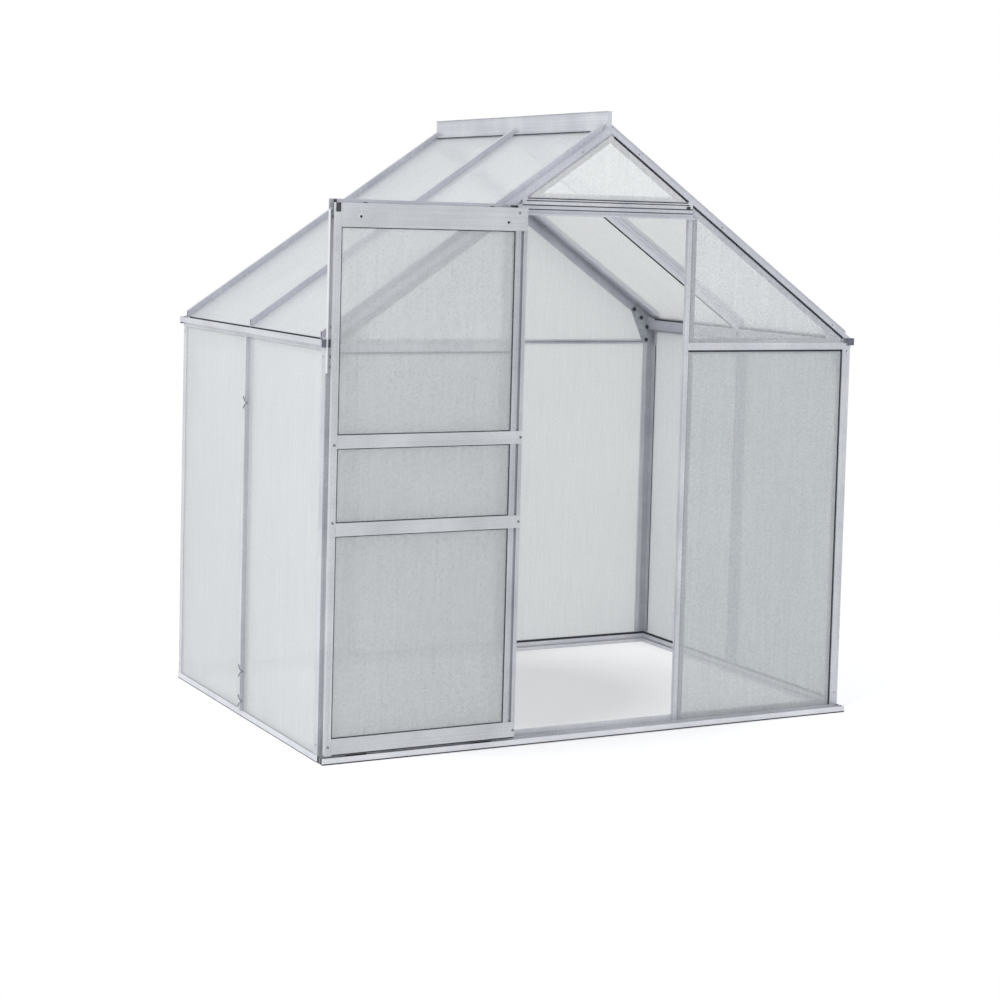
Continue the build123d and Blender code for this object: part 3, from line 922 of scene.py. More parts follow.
    def make(self) -> None:
        """Makes every seal and painted shade strip of the frame, and the shade strip under the door."""
        for end, where in ENDS:
            self.gable_shade_and_seal_strips(end, where)
        self.wall_shade_strips()
        self.foot_seals()
        self.head_seals()
        self.roof_shade_strips()


@dataclass
class Fasteners:
    """Screws, bolts and nuts, each kind made once and copied.

    Attributes:
        head_rise: height of a screw's head over its bar.
        seat: how far its washer sinks in.
        frame_head: radius of the heads on the frame.
        support_head: radius of the heads on the track's support.
        hanger_head: radius of the heads that hold the door's hangers.
        screw_head: radius of the door's other heads.
        plate_nut: radius of the nuts on the plates, over their corners.
        channel_nut: radius of the nuts in the bars' channels.
        rafter_bolts: places of the bolts on a rafter, from the middle.
        rafter_line: from the roof's face to the line of its bolts.
        uncovered: how far from the middle the open door leaves the rafter in sight.
        post_line: from the middle to the line of the posts' bolts.
        post_head: from the eaves down to the upper one.
        post_low: height of the lower one.
        side_depth: from a gable to the bolts on the sides.
        side_heights: their heights.
        support_skin: how far the track's support stands in front of the gable.
        support_spots: X and height of its bolts.
        hanger_spots: X and height of the bolts of the door's hangers.
        header_screw: X and height of the screw in the door's header.
        stile_skin: from the header's face back to the left stile's.
        left_screws: heights of the screws in the left stile.
        left_line: how far they lie outside the header's end.
        right_screws: heights of the screws in the right stile.
        right_line: how far they lie inside the header's end.
        plate_spots: X and height of the nuts on a plate.
        rib_depth: from a wall's face to the bolt channels of the studs.
        back_stud: from the middle to a stud of the back gable.
        side_nuts: heights of the nuts in the side studs.
        back_nuts: heights of the nuts in the back studs.
    """

    form: Form
    shop: Workshop
    head_rise: float = 0.0011
    seat: float = 0.0004
    frame_head: float = 0.0038
    support_head: float = 0.0045
    hanger_head: float = 0.0074
    screw_head: float = 0.0032
    plate_nut: float = 0.0062
    channel_nut: float = 0.0055
    rafter_bolts: tuple[float, ...] = (0.10, 0.416, 0.86)
    rafter_line: float = 0.0072
    uncovered: float = 0.5
    post_line: float = 0.921
    post_head: float = 0.024
    post_low: float = 0.06
    side_depth: float = 0.014
    side_heights: Pair = (0.05, 1.196)
    support_skin: float = 0.0015
    support_spots: tuple[Pair, ...] = ((-0.917, 1.282), (-0.917, 1.196), (-0.917, 1.166), (-0.919, 1.602))
    hanger_spots: tuple[Pair, ...] = ((-0.850, 1.6045), (-0.3703, 1.5985))
    header_screw: Pair = (-0.3326, 1.6275)
    stile_skin: float = 0.0015
    left_screws: tuple[float, ...] = (0.9407, 0.7129, 0.052)
    left_line: float = 0.0095
    right_screws: tuple[float, ...] = (0.950, 0.693, 0.050)
    right_line: float = 0.006
    plate_spots: tuple[Pair, ...] = ((0.842, 1.279), (0.8985, 1.163), (0.901, 1.212), (0.874, 1.247))
    rib_depth: float = 0.0285
    back_stud: float = 0.306
    side_nuts: tuple[float, ...] = (0.07, 1.16)
    back_nuts: tuple[float, ...] = (0.07, 1.11, 1.19)

    @staticmethod
    def lay(bench: Bench) -> bpy.types.Object:
        """Closes a screw or a nut, and turns its top from Z to Y.

        Args:
            bench: the bench with the piece.

        Returns:
            The piece.
        """
        piece = bench.close()
        settle(piece, (0.0, 0.0, 0.0), (0.0, 0.0, -1.0), (0.0, 1.0, 0.0))
        return piece

    def pan_head(self, radius: float) -> bpy.types.Object:
        """A low domed head with a washer under it and a sunk socket.

        Args:
            radius: of the head.

        Returns:
            The master, with its top towards its Y.
        """
        tall = self.head_rise
        washer, shoulder, sunk = tall * 0.3, tall * 0.75, tall * 0.7
        rim, socket, drawn_in = radius * 0.16, radius * 0.2, (0.86, 0.86, 1.0)
        bench = Bench("pan_head").rod(radius * 1.4, -self.seat, washer)
        bench.pick_rim("z", washer * RIM).bevel(washer * 0.3)
        bench.rod(radius, washer * 0.8, shoulder)
        bench.pick_top("z", shoulder * RIM).inset(rim)
        bench.extrude((0.0, 0.0, tall - shoulder)).resize(drawn_in, (0.0, 0.0, tall))
        bench.inset(socket).extrude((0.0, 0.0, -sunk))
        return self.lay(bench)

    def hex_nut(self, radius: float) -> bpy.types.Object:
        """A chamfered nut on a washer, with the end of its bolt standing out.

        Args:
            radius: of the nut, over its corners.

        Returns:
            The master, with its top towards its Y.
        """
        washer, nut_foot, nut_top = radius * 0.2, radius * 0.18, radius * 0.8
        bolt, bolt_foot, bolt_top = radius * 0.48, radius * 0.3, nut_top + radius * 0.5
        bench = Bench("hex_nut").rod(radius * 1.25, 0.0, washer)
        bench.rod(radius, nut_foot, nut_top, sides=6)
        bench.pick_rim("z", nut_top * RIM).bevel(radius * 0.12, segments=1)
        bench.rod(bolt, bolt_foot, bolt_top, sides=16)
        bench.pick_rim("z", bolt_top * RIM).bevel(radius * 0.1)
        return self.lay(bench)

    def frame_bolts(self) -> None:
        """Bolt heads on the outside of the gables, apart from those that the open door covers."""
        f = self.form
        places = []
        for end, _ in ENDS:
            for side, _ in SIDES:
                spots = [(x, f.roof(x, self.rafter_line)) for x in self.rafter_bolts]
                spots += [(self.post_line, f.eaves - self.post_head), (self.post_line, self.post_low)]
                places += facing([(side * x, f.gable(end), z) for x, z in spots
                                  if (end, side) != BEHIND_DOOR or x < self.uncovered], (0.0, end, 0.0))
        self.shop.repeat(self.pan_head(self.frame_head), "frame_bolt", places, "zinc_steel")

    def side_bolts(self) -> None:
        """Bolt heads on the corner posts' side faces."""
        f = self.form
        places = []
        for side, _ in SIDES:
            places += facing([(side * f.half, f.gable(end, self.side_depth), z)
                              for end, _ in ENDS for z in self.side_heights], (side, 0.0, 0.0))
        self.shop.repeat(self.pan_head(self.frame_head), "side_bolt", places, "zinc_steel")

    def support_bolts(self) -> None:
        """Bolts through the track's support into the corner post and into the track."""
        y = self.form.front - self.support_skin
        places = facing([(x, y, z) for x, z in self.support_spots], TO_FRONT)
        self.shop.repeat(self.pan_head(self.support_head), "support_bolt", places, "zinc_dark")

    def door_screws(self, header: Corners) -> None:
        """Bolts and screws on the front of the door.

        Args:
            header: the lowest and highest corner of the door's header.
        """
        low, high = header
        places = facing([(x, low.y, z) for x, z in self.hanger_spots], TO_FRONT)
        self.shop.repeat(self.pan_head(self.hanger_head), "hanger_bolt", places, "zinc_steel", Body.DOOR)
        x, z = self.header_screw
        small = [(x, low.y, z)]
        small += [(low.x - self.left_line, low.y + self.stile_skin, z) for z in self.left_screws]
        small += [(high.x - self.right_line, low.y, z) for z in self.right_screws]
        self.shop.repeat(self.pan_head(self.screw_head), "door_screw", facing(small, TO_FRONT),
                         "zinc_dark", Body.DOOR)

    def plate_nuts(self) -> None:
        """Nuts inside, on the plates of the four corners."""
        f = self.form
        places = []
        for end, _ in ENDS:
            y = f.gable(end, f.plate_back)
            places += facing([(side * x, y, z) for side, _ in SIDES for x, z in self.plate_spots],
                             (0.0, -end, 0.0))
        self.shop.repeat(self.hex_nut(self.plate_nut), "plate_nut", places, "nut_dark")

    def channel_nuts(self) -> None:
        """Nuts in the bolt channels of the side studs and the back studs."""
        f = self.form
        places = []
        for side, _ in SIDES:
            x = side * (f.half - self.rib_depth)
            places += facing([(x, f.middle, z) for z in self.side_nuts], (-side, 0.0, 0.0))
            y = f.gable(1, self.rib_depth)
            places += facing([(side * self.back_stud, y, z) for z in self.back_nuts], TO_FRONT)
        self.shop.repeat(self.hex_nut(self.channel_nut), "channel_nut", places, "zinc_steel")

    def make(self, header: Corners) -> None:
        """Makes every screw, bolt and nut.

        Args:
            header: the lowest and highest corner of the door's header.
        """
        self.frame_bolts()
        self.side_bolts()
        self.support_bolts()
        self.door_screws(header)
        self.plate_nuts()
        self.channel_nuts()


@dataclass
class Clips:
    """Spring wire clips that hold the sheets against the side studs.

    Attributes:
        wire: the wire's radius.
        rib: how far the studs' ribs stand out.
        heights: of the clips.
        bend: radius of the wire's bends.
        over_sheet: height of the wire's ends, which press on the sheets.
        over_flange: height of its bends beside the rib.
    """

    form: Form
    shop: Workshop
    wire: float = 0.0013
    rib: float = 0.012
    heights: tuple[float, ...] = (1.007, 0.148, 0.052)
    bend: float = 0.003
    over_sheet: float = -0.0008
    over_flange: float = 0.003

    def path(self) -> list[Triple]:
        """The wire's corners, from one end to the other.

        Returns:
            Its points, with the wire's back towards Y and its length along Z.
        """
        top = self.rib + self.wire
        half = [(-0.020, self.over_sheet, -0.033), (-0.0092, self.over_flange, -0.028),
                (-0.008, top, -0.018), (0.006, top, -0.006)]
        middle = (0.0092, self.over_flange, 0.0)
        return [*half, middle, *((x, y, -z) for x, y, z in reversed(half))]

    def master(self) -> bpy.types.Object:
        """One clip: a wire bent in a W over the rib, its ends resting on the sheets.

        Returns:
            The clip, with its back towards its Y and its length along its Z.
        """
        bench = Bench("clip").block((self.wire, self.wire, self.wire))
        bpy.ops.mesh.select_all(action="SELECT")
        bpy.ops.mesh.merge(type="CENTER")
        bpy.ops.mesh.select_mode(type="VERT")
        bpy.ops.mesh.select_all(action="SELECT")
        path = self.path()
        bpy.ops.transform.translate(value=path[0])
        for before, after in zip(path, path[1:]):
            step = tuple(b - a for a, b in zip(before, after))
            bpy.ops.mesh.extrude_vertices_move(TRANSFORM_OT_translate={"value": step})
        bpy.ops.mesh.select_all(action="SELECT")
        bpy.ops.mesh.bevel(offset=self.bend, segments=3, affect="VERTICES")
        bpy.ops.object.mode_set(mode="OBJECT")
        bpy.ops.object.convert(target="CURVE")
        curve = bench.piece.data
        curve.bevel_depth = self.wire
        curve.bevel_resolution = 2
        curve.use_fill_caps = True
        bpy.ops.object.convert(target="MESH")
        piece = bpy.context.object
        bpy.ops.object.shade_smooth_by_angle(angle=WIRE_BEND)
        return piece

    def make(self) -> None:
        """Makes the clips of both side studs."""
        f = self.form
        places = []
        for side, _ in SIDES:
            places += facing([(side * f.half, f.middle, z) for z in self.heights], (side, 0.0, 0.0),
                             (0.0, 0.0, side))
        self.shop.repeat(self.master(), "glazing_clip", places, "spring_wire")


@dataclass
class Caps:
    """Moulded caps, stops and buffers at the ends of the gutters and tracks.

    A size is across, out and up. A cap's middle is that of its inner face.

    Attributes:
        gutter_size: across and up.
        gutter_depth: in front and at the back.
        gutter_in: from a side's face to the middle of a gutter's cap.
        gutter_rise: from the eaves to it.
        track_cap: size of the cap on the top track's left end.
        track_cap_at: its place, from the left side, the front and the ground.
        track_stop: size of the stop at the right end of the top track.
        track_stop_at: its place, from the middle, the front and the ground.
        plug: size of the plugs in the ends of the bottom track.
        plug_in: from a side's face to a plug.
        plug_at: its place, from the front and the ground.
        buffer: size of the buffer on top of the door.
        buffer_at: its place, from the right end, the face and the top of the header.
        corner: size of the cap on the door's upper corner.
        corner_at: its place, from the left edge and the top of the stile.
    """

    form: Form
    shop: Workshop
    gutter_size: Pair = (0.027, 0.0235)
    gutter_depth: Pair = (0.004, 0.0014)
    gutter_in: float = 0.0005
    gutter_rise: float = 0.0062
    track_cap: Triple = (0.010, 0.0028, 0.028)
    track_cap_at: Triple = (0.0135, -0.0143, 1.6385)
    track_stop: Triple = (0.011, 0.004, 0.011)
    track_stop_at: Triple = (0.2875, -0.0002, 1.6575)
    plug: Triple = (0.037, 0.0032, 0.0175)
    plug_in: float = 0.0018
    plug_at: Pair = (-0.0205, 0.0098)
    buffer: Triple = (0.022, 0.009, 0.0075)
    buffer_at: Triple = (-0.042, 0.0145, 0.0036)
    corner: Triple = (0.015, 0.0013, 0.026)
    corner_at: Pair = (0.0078, -0.0133)

    def cap(self, name: str, size: Triple, middle: Triple, out: Triple = TO_FRONT, body: Body = Body.FRAME,
            finish: str = "black_nylon") -> None:
        """A rounded cap with a sunk middle and a raised field on its outer face.

        Args:
            name: its name.
            size: across, out and up.
            middle: the middle of its inner face.
            out: the way that its outer face looks.
            body: the body that it rides on.
            finish: the finish's name.
        """
        w, d, h = size
        edge = min(w, h)
        rounding, rim, sunk, step, raised = min(d, edge) * 0.22, edge * 0.12, d * 0.3, edge * 0.1, d * 0.18
        bench = Bench(name).block((w, d, h), (0.0, d / 2, 0.0))
        bench.pick_rim("y", d * RIM).bevel(rounding)
        bench.pick_top("y", d * RIM).inset(rim)
        bench.extrude((0.0, -sunk, 0.0)).inset(step).extrude((0.0, raised, 0.0))
        piece = bench.close()
        settle(piece, middle, out)
        self.shop.deliver(piece, finish, Slot.NYLON, body)

    def gutter_caps(self) -> None:
        """Caps on the four ends of the gutters."""
        f = self.form
        w, h = self.gutter_size
        for side, hand in SIDES:
            for (end, where), depth in zip(ENDS, self.gutter_depth):
                middle = (side * (f.half - self.gutter_in), f.gable(end), f.eaves + self.gutter_rise)
                self.cap(f"gutter_cap_{where}_{hand}", (w, depth, h), middle, (0.0, float(end), 0.0),
                         finish="slate_nylon")

    def track_fittings(self) -> None:
        """The ends of the tracks, and the stops that the door meets."""
        f = self.form
        x, y, z = self.track_cap_at
        self.cap("track_cap_left", self.track_cap, (x - f.half, f.front + y, z))
        x, y, z = self.track_stop_at
        self.cap("track_stop_right", self.track_stop, (x, f.front + y, z))
        y, z = self.plug_at
        for side, hand in SIDES:
            self.cap(f"track_plug_{hand}", self.plug, (side * (f.half - self.plug_in), f.front + y, z),
                     (float(side), 0.0, 0.0))

    def door_fittings(self, header: Corners) -> None:
        """A buffer on top of the door that keeps it on its track, and a cap on its corner.

        Args:
            header: the lowest and highest corner of the door's header.
        """
        low, high = header
        x, y, z = self.buffer_at
        self.cap("door_buffer", self.buffer, (high.x + x, low.y + y, high.z + z), body=Body.DOOR)
        stile_low, stile_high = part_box("door_stile_left")
        x, z = self.corner_at
        self.cap("door_corner_cap", self.corner, (stile_low.x + x, stile_low.y, stile_high.z + z),
                 body=Body.DOOR)

    def make(self, header: Corners) -> None:
        """Makes every cap, stop and buffer.

        Args:
            header: the lowest and highest corner of the door's header.
        """
        self.gutter_caps()
        self.track_fittings()
        self.door_fittings(header)


@dataclass
class Linings:
    """Inner lips of the eaves beams, one to a bay, with a turned-in lower edge, in a darker finish that
    paints the shade of the band under the eaves.

    Attributes:
        tall: height of a lining.
        skin: its thickness.
        lip: how far its lower edge turns in.
        rounding: of the lip's edges.
        top: height of its upper edge.
        side: from a side's outer face to the lining's foot.
        edge: from the gables to its ends.
        gap: from the middle to its ends.
    """

    form: Form
    shop: Workshop
    tall: float = 0.041
    skin: float = 0.0012
    lip: float = 0.004
    rounding: float = 0.0004
    top: float = 1.2425
    side: float = 0.0302
    edge: float = 0.013
    gap: float = 0.009

    def lining(self, side: int, name: str, start: float, end: float) -> None:
        """One lining.

        Args:
            side: -1 for the left, 1 for the right.
            name: its name.
            start: Y of its front end.
            end: Y of its back end.
        """
        run = end - start
        bench = Bench(name).block((self.tall, self.skin, run), (0.0, self.skin / 2, run / 2))
        bench.pick(lambda at, n: n.x * side > LOOKS_ALONG).extrude((0.0, self.lip, 0.0))
        bench.pick_edges(lambda a, b: abs(a.x - b.x) < ONE_POINT and min(a.y, b.y) > self.lip)
        bench.bevel(self.rounding)
        piece = bench.close()
        settle(piece, (side * (self.form.half - self.side), start, self.top - self.tall / 2),
               (-side, 0.0, 0.0), (0.0, 1.0, 0.0))
        self.shop.deliver(piece, "eaves_lip_shaded", Slot.ALUMINIUM)

    def make(self) -> None:
        """Makes the linings of both sides."""
        for side, hand in SIDES:
            for start, end, bay in self.form.bays(self.edge, self.gap):
                self.lining(side, f"eaves_lining_{hand}_{bay}", start, end)


@dataclass
class GasketsAndShadeLines:
    """Dark gaskets that frame the door's three panels on both faces, and paint the shadow lines at the
    panels' edges as painted shade.

    Attributes:
        strip: width of a gasket.
        depth: how far it stands out.
        rounding: of its edges, as a share of its depth.
    """

    shop: Workshop
    strip: float = 0.0026
    depth: float = 0.0013
    rounding: float = 0.35

    def frame(self, name: str, low: Vector, high: Vector, face: float, out: float) -> None:
        """A thin frame round an opening.

        Args:
            name: its name.
            low: the lowest corner of the opening.
            high: the highest corner.
            face: the Y that its foot lies on.
            out: -1 where it faces the front, 1 where it faces the back.
        """
        wide, tall = high.x - low.x, high.z - low.z
        bench = Bench(name).block((wide, self.depth, tall), (0.0, self.depth / 2, 0.0))
        bench.pick(lambda at, n: abs(n.y) > LOOKS_ALONG).inset(self.strip)
        bpy.ops.mesh.bridge_edge_loops()
        bench.pick_rim("y", self.depth * RIM).bevel(self.depth * self.rounding)
        piece = bench.close()
        settle(piece, ((low.x + high.x) / 2, face, (low.z + high.z) / 2), (0.0, out, 0.0))
        self.shop.deliver(piece, "rubber_and_painted_shade", Slot.NYLON, Body.DOOR)

    def make(self) -> None:
        """Makes the gaskets of the three panels."""
        left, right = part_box("door_stile_left"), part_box("door_stile_right")
        rails = [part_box(f"door_{name}") for name in ("bottom_rail", "lower_rail", "upper_rail", "header")]
        for name, under, over in zip(("bottom", "middle", "top"), rails, rails[1:]):
            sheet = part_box(f"door_panel_{name}")
            low = Vector((left[1].x, 0.0, under[1].z))
            high = Vector((right[0].x, 0.0, over[0].z))
            self.frame(f"panel_gasket_and_shade_{name}_front", low, high, sheet[0].y, -1.0)
            self.frame(f"panel_gasket_and_shade_{name}_back", low, high, sheet[1].y, 1.0)


FINISHES = (
    Aluminium("aluminium_upright"),
    Aluminium("aluminium_across", grain=Axis.ACROSS),
    Aluminium("aluminium_along", grain=Axis.ALONG),
    Aluminium("door_upright", (0.62, 0.64, 0.66), (0.44, 0.455, 0.48)),
    # The right stile is a darker copy of the door's aluminium: painted shade.
    Aluminium("door_upright_shaded", (0.52, 0.535, 0.57), (0.37, 0.38, 0.415)),
    Aluminium("door_across", (0.62, 0.64, 0.66), (0.44, 0.455, 0.48), grain=Axis.ACROSS),
    # The rafters, the top track and the roof bars are a darker, bluer copy of the aluminium: painted shade.
    Aluminium("rafter_bar_shaded", (0.61, 0.62, 0.67), (0.455, 0.465, 0.52)),
    Aluminium("roof_bar", (0.61, 0.62, 0.67), (0.455, 0.465, 0.52), metallic=0.1,
              painted_light_under_sheets=(0.80, 0.81, 0.85)),
    # The sills and the bottom track are paler copies of the aluminium: painted light on their shaded faces
    # near the ground.
    Aluminium("sill_bar_lightened", (0.79, 0.80, 0.83), (0.58, 0.59, 0.63), grain=Axis.ACROSS),
    Aluminium("sill_side", (0.79, 0.80, 0.83), (0.58, 0.59, 0.63), grain=Axis.ALONG),
    # The track's support is a paler copy of the aluminium: painted light where the door shades it.
    Aluminium("support_bar_lightened", (0.76, 0.77, 0.80), (0.60, 0.61, 0.64), metallic=0.2),
    # The eaves linings are a darker copy of the aluminium: painted shade for the band under the eaves.
    Aluminium("eaves_lip_shaded", (0.50, 0.51, 0.56), (0.38, 0.39, 0.44), grain=Axis.ALONG),
    # All the sheets are one twin-wall polycarbonate. Their copies differ in colour by place as painted light
    # and shade: the right side's, the right roof's, the top triangle's and the back's are painted paler, and
    # the gable's lower panels and the door's darker.
    TwinWall("sheet_gable", (0.57, 0.595, 0.60), (0.45, 0.475, 0.49), 0.56),
    TwinWall("sheet_upper", (0.80, 0.825, 0.83), (0.54, 0.565, 0.59), 0.30),
    TwinWall("sheet_top", (0.90, 0.915, 0.91), (0.75, 0.765, 0.77), 0.58),
    TwinWall("sheet_back", (0.86, 0.88, 0.87), (0.75, 0.77, 0.77), 0.70),
    TwinWall("sheet_door", (0.62, 0.64, 0.64), (0.485, 0.505, 0.515), 0.38),
    TwinWall("sheet_side", (0.65, 0.675, 0.675), (0.56, 0.58, 0.59), 0.74, across=Axis.ALONG),
    TwinWall("sheet_side_right_lightened", (0.77, 0.795, 0.795), (0.67, 0.69, 0.70), 0.74, across=Axis.ALONG),
    TwinWall("sheet_roof", (0.68, 0.70, 0.71), (0.56, 0.58, 0.60), 0.62, across=Axis.ALONG),
    TwinWall("sheet_roof_right_lightened", (0.80, 0.82, 0.82), (0.67, 0.69, 0.70), 0.46, across=Axis.ALONG),
    Plain("zinc_steel", (0.62, 0.63, 0.66), (0.46, 0.47, 0.51), 0.42, metallic=0.6),
    Plain("zinc_dark", (0.34, 0.35, 0.39), (0.22, 0.23, 0.27), 0.45, metallic=0.5),
    Plain("nut_dark", (0.10, 0.10, 0.13), (0.06, 0.06, 0.08), 0.45, metallic=0.4),
    Plain("plate_steel", (0.52, 0.55, 0.58), (0.36, 0.38, 0.42), 0.45, metallic=0.35),
    Plain("spring_wire", (0.24, 0.25, 0.29), (0.15, 0.16, 0.19), 0.4, metallic=0.4, grains=200.0),
    Plain("black_nylon", (0.055, 0.055, 0.06), (0.03, 0.03, 0.035), 0.5, grains=160.0),
    Plain("slate_nylon", (0.17, 0.17, 0.22), (0.11, 0.11, 0.15), 0.5, grains=160.0),
    # The black of the strips and gaskets is the seals' own colour and also painted shade for the shadow
    # lines in gaps, under bars and at the foot.
    Plain("rubber_and_painted_shade", (0.045, 0.045, 0.06), (0.025, 0.025, 0.035), 0.7, grains=120.0),
)

# The first of these words in a node's name gives its finish.
FINISH_BY_WORD = {
    "right_roof_panels": "sheet_roof_right_lightened", "right_wall_panels": "sheet_side_right_lightened",
    "roof_panels": "sheet_roof", "wall_panels": "sheet_side", "door_panel": "sheet_door",
    "back_lower_panels": "sheet_back", "back_upper_panels": "sheet_back",
    "top_panel": "sheet_top", "upper_panels": "sheet_upper", "lower_panels": "sheet_gable",
    "plates": "plate_steel", "hangers": "zinc_steel", "rollers": "black_nylon", "guides": "black_nylon",
    "stile_right": "door_upright_shaded", "stile_left": "door_upright",
    "door_header": "door_across", "_rail": "door_across",
    "roof_bar": "roof_bar", "rafter": "rafter_bar_shaded", "top_track": "rafter_bar_shaded",
    "bottom_track": "sill_bar_lightened", "sill_front": "sill_bar_lightened", "sill_back": "sill_bar_lightened", "sill": "sill_side",
    "track_support": "support_bar_lightened", "gutter": "aluminium_along", "ridge": "aluminium_along",
    "eaves_bars": "aluminium_across", "head_bar": "aluminium_across",
}
USUAL_FINISH = "aluminium_upright"


@dataclass
class Greenhouse:
    """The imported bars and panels, the finish that each one gets, and the fittings on them."""

    nodes: dict[str, bpy.types.Object]
    form: Form = Form()
    finishes: dict[str, bpy.types.Material] = field(default_factory=dict)

    @staticmethod
    def finish_of(name: str) -> str:
        """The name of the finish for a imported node."""
        return next((finish for word, finish in FINISH_BY_WORD.items() if word in name), USUAL_FINISH)

    def dress(self) -> None:
        """Builds each finish once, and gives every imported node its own."""
        for finish in FINISHES:
            self.finishes[finish.name] = finish.material()
        for name, node in self.nodes.items():
            material = self.finishes[self.finish_of(name)]
            if not node.material_slots:
                node.data.materials.append(material)
            for each in node.material_slots:
                each.material = material
            log.info("finish %s on %s", material.name, name)

    def fit_out(self) -> None:
        """Adds the seals and painted shade strips, fasteners, clips, caps, linings and gaskets."""
        shop = Workshop(self.finishes)
        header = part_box("door_header")
        SealsAndShadeStrips(self.form, shop).make()
        Fasteners(self.form, shop).make(header)
        Clips(self.form, shop).make()
        Caps(self.form, shop).make(header)
        Linings(self.form, shop).make()
        GasketsAndShadeLines(shop).make()
        log.info("%d pieces added", shop.made)


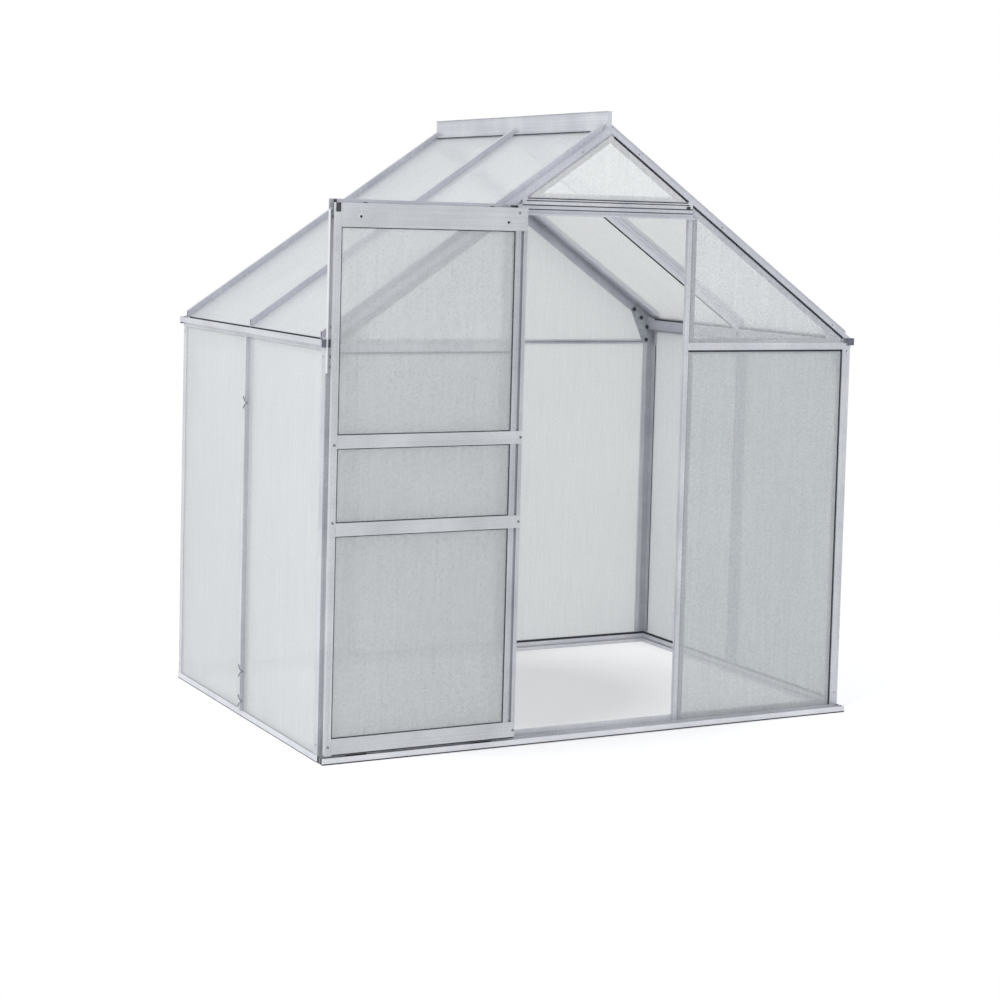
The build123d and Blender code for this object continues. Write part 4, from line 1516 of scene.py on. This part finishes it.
@dataclass
class Studio:
    """Pale floor, soft light and the camera of the photograph.

    Attributes:
        floor_size: length of the floor's sides.
        floor_drop: how far it lies under the greenhouse, so that the two don't touch.
        floor_colour: its colour under the lamp.
        floor_kept: the share of its own shading that it keeps near the greenhouse.
        floor_glow: the share of white that it gets by the end of its inner ring.
        floor_inner: from where to where the first of that white comes in, from the middle.
        floor_outer: from where to where the rest comes in.
        sky: strength of the sky's light.
        sky_colour: its colour on the greenhouse.
        lamp_at: place of the soft lamp.
        lamp_aim: the point that it shines at.
        lamp_size: length of its sides.
        lamp_power: in watts.
        lens: focal length, in millimetres.
        sensor: the camera's width, in millimetres.
        sight: how far it sees.
        camera_at: its place.
        heading: how far it looks to the right of +Y, in degrees.
        tilt: how far it looks up, in degrees.
        roll: how far it leans to the left, in degrees.
        shift: of the picture across and up, as a share of its width.
        layers: how many sheets a ray may pass.
    """

    floor_size: float = 40.0
    floor_drop: float = 0.0005
    floor_colour: Triple = (0.95, 0.95, 0.95)
    floor_kept: float = 0.9
    floor_glow: float = 0.27
    floor_inner: Pair = (0.4, 1.0)
    floor_outer: Pair = (1.5, 3.0)
    sky: float = 0.90
    sky_colour: Triple = (0.97, 0.98, 1.0)
    lamp_at: Triple = (-6.0, -3.0, 5.5)
    lamp_aim: Triple = (0.0, 0.0, 0.8)
    lamp_size: float = 4.0
    lamp_power: float = 205.0
    lens: float = 77.58
    sensor: float = 36.0
    sight: float = 200.0
    camera_at: Triple = (-3.339, -6.401, 1.614)
    heading: float = 28.43
    tilt: float = -3.9
    roll: float = 1.6
    shift: Pair = (-0.0471, -0.1347)
    layers: int = 24

    def light_world(self) -> None:
        """Fills the sky with soft light, and shows it white behind the object."""
        world = bpy.data.worlds.new("sky")
        bpy.context.scene.world = world
        world.use_nodes = True
        s = Nodes(world.node_tree)
        lit = s.tree.nodes["Background"]
        s.feed(lit.inputs["Color"], self.sky_colour)
        s.feed(lit.inputs["Strength"], self.sky)
        white = s.add("ShaderNodeBackground", Color=WHITE)
        shown = s.cover(s.seen(), lit.outputs[0], white.outputs[0])
        s.feed(s.tree.nodes["World Output"].inputs["Surface"], shown)

    def lay_floor(self) -> None:
        """Lays a pale floor that is as white as the sky and keeps the object's shadow."""
        bpy.ops.object.select_all(action="DESELECT")
        bpy.ops.mesh.primitive_plane_add(size=self.floor_size, location=(0.0, 0.0, -self.floor_drop))
        floor = bpy.context.object
        floor.name = "floor"
        s = Shader("pale_floor")
        s.give(Base_Color=self.floor_colour, Roughness=0.9, Specular_IOR_Level=0.0)
        away = s.add("ShaderNodeVectorMath", operation="LENGTH", Vector=s.place()).outputs["Value"]
        hidden = s.spread(away, *self.floor_outer, 1.0 - self.floor_kept, 1.0)
        shine = s.sum("ADD", s.spread(away, *self.floor_inner, 0.0, self.floor_glow),
                      s.spread(away, *self.floor_outer, 0.0, 1.0 - self.floor_glow))
        seen = s.seen()
        dark = s.add("ShaderNodeBsdfTransparent", Color=BLACK).outputs[0]
        dim = s.cover(s.sum("MULTIPLY", seen, hidden), s.surface.outputs[0], dark)
        glow = s.add("ShaderNodeEmission", Strength=s.sum("MULTIPLY", seen, shine)).outputs[0]
        s.feed(s.output, s.step("ShaderNodeAddShader", dim, glow))
        floor.data.materials.append(s.material)

    def hang_lamp(self) -> None:
        """Hangs the soft square lamp."""
        data = bpy.data.lights.new("key_lamp", "AREA")
        data.size = self.lamp_size
        data.energy = self.lamp_power
        lamp = bpy.data.objects.new("key_lamp", data)
        bpy.context.scene.collection.objects.link(lamp)
        lamp.location = self.lamp_at
        look = Vector(self.lamp_aim) - Vector(self.lamp_at)
        lamp.rotation_euler = look.to_track_quat("-Z", "Y").to_euler()

    def set_camera(self) -> None:
        """Puts the camera where the photograph was taken from."""
        data = bpy.data.cameras.new("camera")
        data.sensor_width = self.sensor
        data.lens = self.lens
        data.shift_x, data.shift_y = self.shift
        data.clip_end = self.sight
        camera = bpy.data.objects.new("camera", data)
        bpy.context.scene.collection.objects.link(camera)
        yaw, tilt, roll = (math.radians(angle) for angle in (self.heading, self.tilt, self.roll))
        look = Vector((math.sin(yaw) * math.cos(tilt), math.cos(yaw) * math.cos(tilt), math.sin(tilt)))
        right = Vector((math.cos(yaw), -math.sin(yaw), 0.0))
        up = right.cross(look)
        across = right * math.cos(roll) + up * math.sin(roll)
        over = up * math.cos(roll) - right * math.sin(roll)
        camera.matrix_world = turned(across, over, -look, self.camera_at)
        bpy.context.scene.camera = camera

    def set_up(self) -> None:
        """Builds the whole studio."""
        self.light_world()
        self.lay_floor()
        self.hang_lamp()
        self.set_camera()
        scene = bpy.context.scene
        scene.view_settings.view_transform = "Standard"
        scene.cycles.transparent_max_bounces = self.layers


def main() -> None:
    """Builds the greenhouse's looks around its frame."""
    logging.basicConfig(level=logging.INFO, format="%(message)s")
    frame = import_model()
    house = Greenhouse(frame["nodes"])
    house.dress()
    house.fit_out()
    Studio().set_up()


if __name__ == "__main__":
    main()
